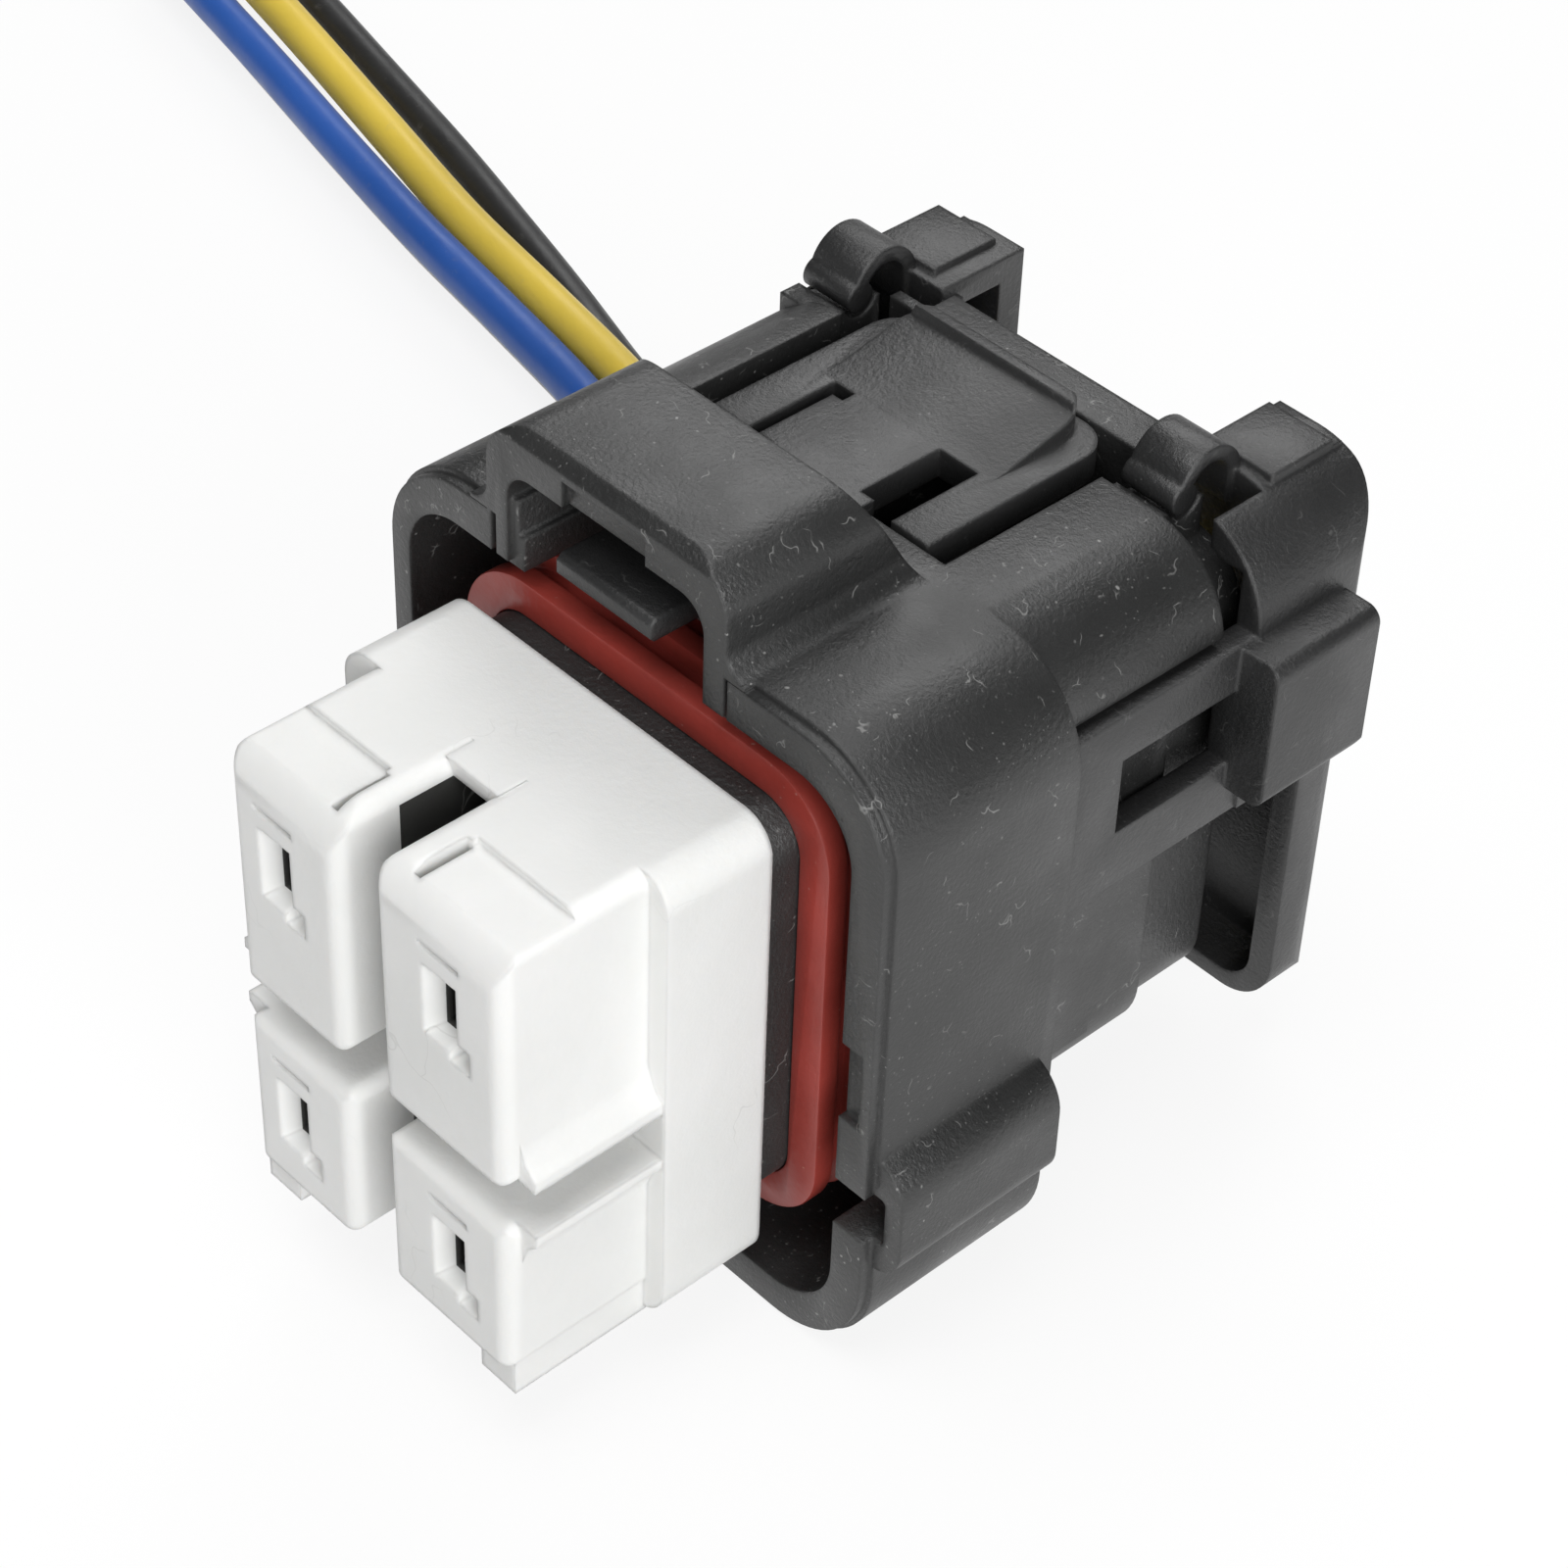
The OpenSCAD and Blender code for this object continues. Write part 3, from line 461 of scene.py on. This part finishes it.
@dataclass(frozen=True)
class Silicone:
    """Oil-bleeding silicone rubber with a little dust."""

    name: str
    colour: Colour = (0.36, 0.05, 0.038)
    dust: Colour = (0.5, 0.3, 0.27)
    blotch_scale: float = 150.0
    speck_scale: float = 1300.0
    speck_bends: float = 600.0
    speck_patches: float = 260.0
    uneven_scale: float = 420.0
    grain_scale: float = 2400.0
    grain_depth: float = 0.00002

    def make(self) -> bpy.types.Material:
        """Makes the finish.

        Returns:
            The material.
        """
        s = Shader(self.name)
        blotch = s.ramp(s.noise(self.blotch_scale, 3.0), 0.3, 0.7)
        base = s.mix(blotch, self.colour, tuple(0.72 * c for c in self.colour))
        bent = s.warped(self.speck_bends, 0.001)
        specks = s.ramp(s.cells(self.speck_scale, "F1", bent), 0.05, 0.1, 0.5, 0.0)
        specks = s.maths("MULTIPLY", specks, s.ramp(s.noise(self.speck_patches, 1.0), 0.52, 0.6))
        s.feed(s.bsdf.inputs["Base Color"], s.mix(specks, base, self.dust))
        s.feed(s.bsdf.inputs["Roughness"], s.ramp(s.noise(self.uneven_scale, 3.0), 0.3, 0.7, 0.3, 0.46))
        s.feed(s.bsdf.inputs["Normal"], s.bump(s.noise(self.grain_scale, 2.0), self.grain_depth))
        return s.material


@dataclass(frozen=True)
class Insulation:
    """Extruded lead insulation with faint smudges."""

    name: str
    colour: Colour
    smudge: Colour = (0.3, 0.3, 0.29)
    roughness: float = 0.42
    coat: float = 0.1
    coat_roughness: float = 0.3
    shade_scale: float = 60.0
    smudge_scale: float = 900.0
    uneven_scale: float = 350.0
    grain_scale: float = 1500.0
    grain_depth: float = 0.00002

    def make(self) -> bpy.types.Material:
        """Makes the finish.

        Returns:
            The material.
        """
        s = Shader(self.name)
        shade = s.ramp(s.noise(self.shade_scale, 3.0), 0.3, 0.7)
        base = s.mix(shade, self.colour, tuple(0.84 * c for c in self.colour))
        smudges = s.ramp(s.noise(self.smudge_scale, 4.0, 0.7), 0.62, 0.78, 0.0, 0.18)
        s.feed(s.bsdf.inputs["Base Color"], s.mix(smudges, base, self.smudge))
        uneven = s.noise(self.uneven_scale, 3.0)
        rough = s.ramp(uneven, 0.3, 0.7, self.roughness - 0.06, self.roughness + 0.1)
        s.feed(s.bsdf.inputs["Roughness"], rough)
        s.feed(s.bsdf.inputs["Normal"], s.bump(s.noise(self.grain_scale, 3.0), self.grain_depth))
        s.bsdf.inputs["Coat Weight"].default_value = self.coat
        s.bsdf.inputs["Coat Roughness"].default_value = self.coat_roughness
        return s.material


@dataclass(frozen=True)
class PlatedSheet:
    """Rolled and plated sheet metal."""

    name: str
    colour: Colour
    roughness: float = 0.32
    stain_scale: float = 500.0
    uneven_scale: float = 1800.0
    grain_scale: float = 5000.0
    grain_depth: float = 0.000008

    def make(self) -> bpy.types.Material:
        """Makes the finish.

        Returns:
            The material.
        """
        s = Shader(self.name)
        stain = s.ramp(s.noise(self.stain_scale, 4.0, 0.6), 0.35, 0.7)
        s.feed(s.bsdf.inputs["Base Color"], s.mix(stain, self.colour, tuple(0.74 * c for c in self.colour)))
        uneven = s.noise(self.uneven_scale, 2.0)
        rough = s.ramp(uneven, 0.3, 0.7, self.roughness - 0.08, self.roughness + 0.12)
        s.feed(s.bsdf.inputs["Roughness"], rough)
        s.feed(s.bsdf.inputs["Normal"], s.bump(s.noise(self.grain_scale, 2.0), self.grain_depth))
        s.bsdf.inputs["Metallic"].default_value = 1.0
        return s.material


class Finishes:
    """Every finish of the connector, made once."""

    def __init__(self) -> None:
        """Makes the materials."""
        self.housing = MouldedPlastic("housing plastic", (0.0135, 0.0137, 0.0136)).make()
        self.moving = MouldedPlastic("moving part plastic", (0.0135, 0.0136, 0.0138), lint=0.16).make()
        self.holder = WhitePlastic("holder plastic").make()
        # The hollow finish is the holder's white plastic painted near black: painted shade for the hollows
        # that light hardly reaches
        self.painted_hollow_shade = WhitePlastic("hollow painted shade", (0.05, 0.05, 0.048), (0.04, 0.04, 0.038)).make()
        self.seal = Silicone("seal silicone").make()
        # The tin's colour is darkened far below bright tin: painted shade for the terminals, which are seen
        # only deep in the openings
        self.tin_darkened_for_shade = PlatedSheet("tinned sheet with painted shade", (0.3, 0.29, 0.27), 0.45).make()
        self.bronze = PlatedSheet("spring bronze", (0.58, 0.4, 0.2)).make()
        self.copper = PlatedSheet("bare copper", (0.75, 0.36, 0.2)).make()


# --------------------------------------------------------------------------
# Mesh helpers
# --------------------------------------------------------------------------
def deselect() -> None:
    """Deselects everything and leaves no object active."""
    for obj in bpy.data.objects:
        obj.select_set(False)
    bpy.context.view_layer.objects.active = None


def activate(obj: bpy.types.Object) -> None:
    """Selects one object alone and makes it active.

    Args:
        obj: the object.
    """
    deselect()
    obj.select_set(True)
    bpy.context.view_layer.objects.active = obj


def apply_modifiers(obj: bpy.types.Object) -> None:
    """Applies all of an object's modifiers, in order.

    Args:
        obj: the object.
    """
    activate(obj)
    for modifier in list(obj.modifiers):
        bpy.ops.object.modifier_apply(modifier=modifier.name)


def freeze_place(obj: bpy.types.Object) -> None:
    """Moves an object's place into its mesh."""
    activate(obj)
    bpy.ops.object.transform_apply(location=True, rotation=True, scale=True)


def dress(obj: bpy.types.Object, material: bpy.types.Material) -> None:
    """Gives an object one material."""
    obj.data.materials.clear()
    obj.data.materials.append(material)


def copied_node(node: str, name: str, split_y: Sequence[float] = ()) -> bpy.types.Object:
    """Copies a CAD node's mesh and merges its loose triangles into whole faces.

    Args:
        node: the CAD node.
        name: the new piece's name.
        split_y: places along Y, in metres, where faces are split to take different materials.

    Returns:
        The new piece.
    """
    mesh = frame["nodes"][node].data.copy()
    obj = bpy.data.objects.new(name, mesh)
    bpy.context.scene.collection.objects.link(obj)
    work = bmesh.new()
    work.from_mesh(mesh)
    bmesh.ops.remove_doubles(work, verts=work.verts, dist=MERGE)
    bmesh.ops.dissolve_limit(work, angle_limit=math.radians(FLAT), verts=work.verts, edges=work.edges)
    for y in split_y:
        every = [*work.verts, *work.edges, *work.faces]
        bmesh.ops.bisect_plane(work, geom=every, dist=MERGE / 2, plane_co=(0, y, 0), plane_no=(0, 1, 0))
    work.to_mesh(mesh)
    work.free()
    activate(obj)
    if mesh.has_custom_normals:
        bpy.ops.mesh.customdata_custom_splitnormals_clear()
    return obj


def ease_edges(obj: bpy.types.Object, width: float, segments: int) -> None:
    """Rounds a piece's sharp edges and smooths its curved faces.

    Args:
        obj: the piece.
        width: the width of the rounding, in metres.
        segments: how many faces the rounding has.
    """
    bevel = obj.modifiers.new("eased edges", "BEVEL")
    bevel.width = width
    bevel.segments = segments
    bevel.limit_method = "ANGLE"
    bevel.angle_limit = math.radians(SHARP)
    bevel.use_clamp_overlap = True
    bevel.harden_normals = False
    apply_modifiers(obj)
    activate(obj)
    bpy.ops.object.shade_smooth_by_angle(angle=math.radians(SMOOTH))


def keep_faces_flat(obj: bpy.types.Object) -> None:
    """Lets large faces keep their own normal, which stops streaks on wide flat ones.

    Args:
        obj: the piece.
    """
    weighted = obj.modifiers.new("flat faces stay flat", "WEIGHTED_NORMAL")
    weighted.weight = FACE_WEIGHT
    weighted.keep_sharp = True
    apply_modifiers(obj)


# --------------------------------------------------------------------------
# Leads
# --------------------------------------------------------------------------
@dataclass
class Lead:
    """One lead: its insulation from the wire seal to the free end, and the bare strands there.

    Sizes and the route are in millimetres.
    """

    node: str
    colour: Colour
    route: Sequence[Point]
    diameter: float = 2.7
    bare: float = 5.0
    core: float = 0.62
    wire_sides: int = 12
    wires_round: int = 6
    wire_bevel: float = 0.3
    wire_smooth: float = 40.0

    def points(self) -> list[Vector]:
        """Draws a smooth line through the route, with steps of about 1 mm.

        Returns:
            The line's points, in metres.
        """
        route = [Vector(p) * MM for p in self.route]
        ends = [2 * route[0] - route[1], *route, 2 * route[-1] - route[-2]]
        line: list[Vector] = []
        for a, b, c, d in zip(ends, ends[1:], ends[2:], ends[3:]):
            steps = max(2, int((c - b).length / MM))
            for i in range(steps):
                t = i / steps
                line.append(0.5 * (2 * b + (c - a) * t + (2 * a - 5 * b + 4 * c - d) * t**2
                                   + (3 * b - a - 3 * c + d) * t**3))
        line.append(route[-1])
        return line

    def tube(self, name: str, line: Sequence[Vector], radius: float) -> bpy.types.Object:
        """Makes a curve with a round section.

        Args:
            name: the piece's name.
            line: the points of its centre line.
            radius: its radius in metres.

        Returns:
            The curve object.
        """
        curve = bpy.data.curves.new(name, "CURVE")
        curve.dimensions = "3D"
        curve.bevel_depth = radius
        curve.bevel_resolution = 8
        curve.use_fill_caps = True
        spline = curve.splines.new("POLY")
        spline.points.add(len(line) - 1)
        for point, at in zip(spline.points, line):
            point.co = (*at, 1.0)
        spline.use_smooth = True
        obj = bpy.data.objects.new(name, curve)
        bpy.context.scene.collection.objects.link(obj)
        return obj

    def build(self, finishes: Finishes) -> None:
        """Makes the lead, its inner end and its strands.

        Args:
            finishes: the connector's finishes.
        """
        line = self.points()
        radius = self.diameter / 2 * MM
        start = next(i for i, p in enumerate(line) if p.y > EXIT_Y * MM)
        end = len(line) - 1
        while (line[-1] - line[end]).length < self.bare * MM:
            end -= 1
        material = Insulation(f"{self.node} insulation", self.colour).make()
        inner = self.tube(f"{self.node}_crimped_end", line[: start + 1], radius)
        outer = self.tube(f"{self.node}_insulation", line[start:end], radius)
        strands = self.strands(line[end - 2:], radius * self.core)
        for piece in (inner, outer):
            dress(piece, material)
            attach(piece, Body.HOUSING.value)
            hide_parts(self.node)
        dress(strands, finishes.copper)
        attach(strands, Body.HOUSING.value)

    def strands(self, line: Sequence[Vector], radius: float) -> bpy.types.Object:
        """Makes the bare strands: one wire in the middle and a ring of them round it.

        Args:
            line: the centre line of the bare end.
            radius: the bundle's radius in metres.

        Returns:
            The strands, as one mesh.
        """
        start, stop = line[0], line[-1]
        length = (stop - start).length
        wire = radius / 3
        deselect()
        bpy.ops.mesh.primitive_cylinder_add(
            vertices=self.wire_sides, radius=wire, depth=length, location=(0, 0, length / 2))
        middle = bpy.context.active_object
        for face in middle.data.polygons:
            face.select = face.normal.z > 0.9
        bpy.ops.object.mode_set(mode="EDIT")
        bpy.ops.mesh.bevel(offset=wire * self.wire_bevel, segments=2)
        bpy.ops.object.mode_set(mode="OBJECT")
        bpy.ops.object.shade_smooth_by_angle(angle=math.radians(self.wire_smooth))
        wires = [middle]
        for k in range(self.wires_round):
            outer = middle.copy()
            outer.data = middle.data.copy()
            angle = k * math.tau / self.wires_round
            outer.location = (2 * wire * math.cos(angle), 2 * wire * math.sin(angle), length / 2)
            bpy.context.scene.collection.objects.link(outer)
            wires.append(outer)
        for obj in wires:
            freeze_place(obj)
        for obj in wires:
            obj.select_set(True)
        bpy.context.view_layer.objects.active = middle
        bpy.ops.object.join()
        turn = (stop - start).to_track_quat("Z", "Y").to_matrix().to_4x4()
        middle.matrix_world = Matrix.Translation(start) @ turn
        freeze_place(middle)
        middle.name = middle.data.name = f"{self.node}_strands"
        return middle


# Where the leads have left their seals along Y, in millimetres
EXIT_Y = 12.0
LEADS = (
    Lead("lead_blue", (0.022, 0.105, 0.43), (
        (-5.7, -8, 25.7), (-5.7, 3, 25.7), (-5.7, 12.6, 25.7), (-6.2, 15.2, 24.8), (-7.6, 17.2, 22.6),
        (-9.8, 18.2, 19.6), (-13, 18.4, 16.4), (-17.6, 18.6, 13.6), (-24, 20.2, 10.4), (-31.5, 23.2, 7.2),
        (-40, 26.8, 4.8), (-49, 29.9, 3.8), (-59, 31.8, 3.8), (-69, 33.6, 3.8), (-80, 36, 3.8),
        (-92, 38.8, 3.8), (-104, 41.4, 3.8), (-116, 44, 3.75))),
    Lead("lead_yellow", (0.82, 0.6, 0.075), (
        (5.7, -8, 25.7), (5.7, 3, 25.7), (5.7, 14.6, 25.7), (5.3, 17.4, 25.2), (3.8, 19.8, 23.9),
        (1.2, 21, 22), (-3.4, 21.2, 19.2), (-9, 21.2, 16.2), (-15, 21.2, 13.6), (-22, 22.6, 11.2),
        (-30, 25.8, 8.2), (-39, 29.7, 5.4), (-48.6, 32.9, 4), (-58, 34.8, 3.8), (-68, 36.6, 3.8),
        (-79, 39.3, 3.8), (-91, 42.3, 3.8), (-102, 45, 3.6), (-113, 47.6, 3.2))),
    Lead("lead_white", (0.74, 0.74, 0.71), (
        (-5.7, -8, 10.2), (-5.7, 3, 10.2), (-5.7, 12.6, 10.2), (-6.4, 15.6, 10.2), (-8.2, 17.6, 10.2),
        (-11, 18.3, 10), (-15, 18.5, 9.4), (-20, 19.6, 7.9), (-26, 22, 5.6), (-32, 25, 3.5),
        (-38.5, 28.2, 1.9), (-45, 30.5, 1.4), (-52, 32.1, 1.35), (-61, 33.8, 1.35), (-71, 35.6, 1.35),
        (-82, 38, 1.35), (-94, 40.8, 1.35), (-106, 43.6, 1.35), (-118, 46.2, 1.35))),
    Lead("lead_black", (0.018, 0.018, 0.019), (
        (5.7, -8, 10.2), (5.7, 3, 10.2), (5.7, 14.8, 10.2), (5.2, 18, 10.2), (3.4, 20.2, 10.2),
        (0.4, 21.1, 10.2), (-5, 21.2, 10.1), (-10.5, 21.2, 9.8), (-16, 21.6, 9), (-22, 23.4, 7),
        (-29, 26.6, 4.5), (-36, 30, 2.6), (-44, 33.4, 1.6), (-52, 35.9, 1.35), (-60, 38.4, 1.35),
        (-68, 40.7, 1.35), (-77, 43.2, 1.35), (-88, 45.9, 1.35), (-100, 48.8, 1.35), (-112, 51.4, 1.35))),
)


# --------------------------------------------------------------------------
# Studio
# --------------------------------------------------------------------------
@dataclass(frozen=True)
class Lamp:
    """A square soft light that faces the connector: its place and side in metres, its power in watts."""

    name: str
    at: Point
    size: float
    power: float

    def build(self, target: Vector) -> None:
        """Adds the light.

        Args:
            target: the point that it faces.
        """
        data = bpy.data.lights.new(self.name, "AREA")
        data.shape = "SQUARE"
        data.size = self.size
        data.energy = self.power
        obj = bpy.data.objects.new(self.name, data)
        obj.location = self.at
        obj.rotation_euler = (target - Vector(self.at)).to_track_quat("-Z", "Y").to_euler()
        bpy.context.scene.collection.objects.link(obj)


@dataclass
class Studio:
    """The camera, the soft lights and the pale floor."""

    place: Point = (0.10158, -0.09768, 0.14375)
    azimuth: float = 45.8
    elevation: float = 40.99
    roll: float = 2.18
    lens: float = 90.8
    sensor: float = 36.0
    near: float = 0.01
    floor_side: float = 6.0
    middle: Point = (0, 0, 0.02)
    sky: float = 0.1
    floor_colour: Colour = (0.9, 0.9, 0.9)
    bounce: float = 0.65
    seen: float = 0.85
    mirrored: float = 0.85
    lamps: tuple[Lamp, ...] = (
        Lamp("key", (0.05, -0.15, 0.65), 0.4, 2.3),
        Lamp("fill", (0.55, -0.28, 0.28), 0.5, 4.2),
        Lamp("back", (-0.3, 0.4, 0.5), 0.5, 2.0),
    )

    def camera(self) -> None:
        """Adds the camera and makes it the scene's own."""
        data = bpy.data.cameras.new("camera")
        data.lens = self.lens
        data.sensor_width = self.sensor
        data.clip_start = self.near
        obj = bpy.data.objects.new("camera", data)
        turn = (Matrix.Rotation(math.radians(self.azimuth), 4, "Z")
                @ Matrix.Rotation(math.radians(90 - self.elevation), 4, "X")
                @ Matrix.Rotation(math.radians(self.roll), 4, "Z"))
        obj.matrix_world = Matrix.Translation(self.place) @ turn
        bpy.context.scene.collection.objects.link(obj)
        bpy.context.scene.camera = obj

    def seen_white(self) -> bpy.types.Material:
        """Makes a pale surface that the camera and gloss see as white where no shadow falls.

        Returns:
            The material.
        """
        s = Shader("floor")
        s.bsdf.inputs["Roughness"].default_value = 0.9
        glow = s.tree.nodes.new("ShaderNodeEmission")
        glow.inputs["Color"].default_value = (1.0, 1.0, 1.0, 1.0)
        glow.inputs["Strength"].default_value = 1.0
        path = s.tree.nodes.new("ShaderNodeLightPath")
        dimmed = tuple(self.bounce * c for c in self.floor_colour)
        colour = s.mix(path.outputs["Is Diffuse Ray"], self.floor_colour, dimmed)
        s.feed(s.bsdf.inputs["Base Color"], colour)
        mirrored = s.maths("MULTIPLY", path.outputs["Is Glossy Ray"], self.mirrored)
        seen = s.maths("MAXIMUM", mirrored, path.outputs["Is Transmission Ray"])
        seen = s.maths("MAXIMUM", path.outputs["Is Camera Ray"], seen)
        blend = s.tree.nodes.new("ShaderNodeMixShader")
        s.feed(blend.inputs["Fac"], s.maths("MULTIPLY", seen, self.seen))
        s.link(s.bsdf.outputs["BSDF"], blend.inputs[1])
        s.link(glow.outputs["Emission"], blend.inputs[2])
        s.link(blend.outputs["Shader"], s.out.inputs["Surface"])
        return s.material

    def floor(self) -> None:
        """Adds the floor, which carries the shadow."""
        deselect()
        bpy.ops.mesh.primitive_plane_add(size=self.floor_side, location=(0, 0, 0))
        plane = bpy.context.active_object
        plane.name = "floor"
        dress(plane, self.seen_white())

    def world(self) -> None:
        """Sets an even pale world."""
        world = bpy.data.worlds.new("world")
        bpy.context.scene.world = world
        world.use_nodes = True
        back = world.node_tree.nodes["Background"]
        back.inputs["Color"].default_value = (1.0, 1.0, 1.0, 1.0)
        back.inputs["Strength"].default_value = self.sky

    def build(self) -> None:
        """Builds the lights, the floor and the world."""
        for lamp in self.lamps:
            lamp.build(Vector(self.middle))
        self.floor()
        self.world()
        bpy.context.scene.view_settings.view_transform = "Standard"


# --------------------------------------------------------------------------
# Moulded and stamped pieces
# --------------------------------------------------------------------------
@dataclass
class Moulding:
    """A moulded sub-assembly: its CAD node's shape with eased edges and a finish.

    Sizes are in millimetres.
    """

    node: str
    body: Body
    slot: str
    edge: float = 0.18
    segments: int = 2

    def splits(self) -> list[float]:
        """Returns the places along Y where the piece's faces are split, in metres."""
        return []

    def shape(self) -> bpy.types.Object:
        """Makes the eased piece.

        Returns:
            The piece, not yet dressed.
        """
        piece = copied_node(self.node, f"{self.node}_moulding", self.splits())
        ease_edges(piece, self.edge * MM, self.segments)
        return piece

    def build(self, material: bpy.types.Material) -> bpy.types.Object:
        """Makes the dressed piece in place of its CAD node.

        Args:
            material: its finish.

        Returns:
            The piece.
        """
        piece = self.shape()
        dress(piece, material)
        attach(piece, self.body.value)
        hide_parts(self.node)
        LOG.info("%s: %d faces", piece.name, len(piece.data.polygons))
        return piece


@dataclass
class Housing(Moulding):
    """The black housing: hood, guard, core and rear body in one moulding."""

    node: str = "housing"
    body: Body = Body.HOUSING
    slot: str = "black_plastic"


@dataclass
class LockLever(Moulding):
    """The lock lever, whose thin rails take a finer rounding."""

    node: str = "lock_lever"
    body: Body = Body.LEVER
    slot: str = "black_plastic"
    edge: float = 0.12


@dataclass
class RearCover(Moulding):
    """The rear cover with its straps, ears and snap arms."""

    node: str = "rear_cover"
    body: Body = Body.COVER
    slot: str = "black_plastic"


@dataclass
class PerimeterSeal(Moulding):
    """The red ring that seals the plug in its header."""

    node: str = "perimeter_seal"
    body: Body = Body.HOUSING
    slot: str = "red_silicone"
    edge: float = 0.15


@dataclass(frozen=True)
class Box:
    """A box in the part's frame, in millimetres."""

    low: Point
    high: Point

    def holds(self, point: Vector) -> bool:
        """Returns whether a point, in metres, lies in the box."""
        return all(a <= p / MM <= b for a, p, b in zip(self.low, point, self.high))


@dataclass
class FrontHolder(Moulding):
    """The white holder, whose hollows get a near-black painted shade where the light doesn't reach."""

    node: str = "front_holder"
    body: Body = Body.HOUSING
    slot: str = "white_plastic"
    edge: float = 0.2
    # Where the painted shade lies, in millimetres: it starts opening_lit behind the towers' fronts in each
    # opening and gap_lit behind them between the towers
    opening: tuple[float, float] = (1.4, 2.7)
    opening_lit: float = 0.8
    gap: float = 2.6
    gap_lit: float = 3.6
    gap_low: float = 2.0
    gap_under_top: float = 0.8
    deep: float = 15.1

    def front(self) -> float:
        """Returns where the towers' fronts stand along Y, in millimetres."""
        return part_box(self.node)[0][1] / MM

    def splits(self) -> list[float]:
        """Returns where the light between the towers ends and the painted shade begins along Y, in metres.
        """
        return [(self.front() + self.gap_lit) * MM]

    def hollows(self) -> list[Box]:
        """Finds where the painted shade goes: the way behind each tab opening, and the gap between the
        towers.

        Returns:
            The hollows, as boxes.
        """
        front = self.front()
        back = front + self.deep
        half_w, half_h = (side / 2 for side in self.opening)
        boxes = []
        for corner in CORNERS:
            low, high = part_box(f"wire_seal_{corner}")
            x, z = ((low[axis] + high[axis]) / 2 / MM for axis in (0, 2))
            start = (x - half_w, front + self.opening_lit, z - half_h)
            boxes.append(Box(start, (x + half_w, back, z + half_h)))
        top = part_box(self.node)[1][2] / MM - self.gap_under_top
        boxes.append(Box((-self.gap / 2, front + self.gap_lit, self.gap_low), (self.gap / 2, back, top)))
        return boxes

    def shape(self) -> bpy.types.Object:
        """Makes the eased piece, with its wide faces kept flat.

        Returns:
            The piece, not yet dressed.
        """
        piece = super().shape()
        keep_faces_flat(piece)
        return piece

    def paint_hollow_shade(self, piece: bpy.types.Object, material: bpy.types.Material) -> None:
        """Gives the faces in the hollows a second, near-black material, which is painted shade.

        Args:
            piece: the dressed holder.
            material: the painted shade that the faces in the hollows get.
        """
        piece.data.materials.append(material)
        hollows = self.hollows()
        for face in piece.data.polygons:
            if any(box.holds(face.center) for box in hollows):
                face.material_index = 1


def dress_nodes(nodes: Iterable[str], material: bpy.types.Material) -> None:
    """Gives CAD nodes a finish.

    Args:
        nodes: the nodes' names.
        material: the finish.
    """
    for node in nodes:
        dress(frame["nodes"][node], material)


def main() -> None:
    """Builds the connector and the studio round it."""
    logging.basicConfig(level=logging.INFO)
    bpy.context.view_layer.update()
    studio = Studio()
    studio.camera()
    finishes = Finishes()
    for lead in LEADS:
        lead.build(finishes)
    Housing().build(finishes.housing)
    LockLever().build(finishes.moving)
    RearCover().build(finishes.moving)
    holder = FrontHolder()
    # The holder's hollows get painted shade
    holder.paint_hollow_shade(holder.build(finishes.holder), finishes.painted_hollow_shade)
    PerimeterSeal().build(finishes.seal)
    dress_nodes((f"wire_seal_{corner}" for corner in CORNERS), finishes.seal)
    # The terminals' darkened tin is painted shade
    dress_nodes((f"terminal_{corner}" for corner in CORNERS), finishes.tin_darkened_for_shade)
    dress_nodes((f"spring_{corner}" for corner in CORNERS), finishes.bronze)
    studio.build()


if __name__ == "__main__":
    main()
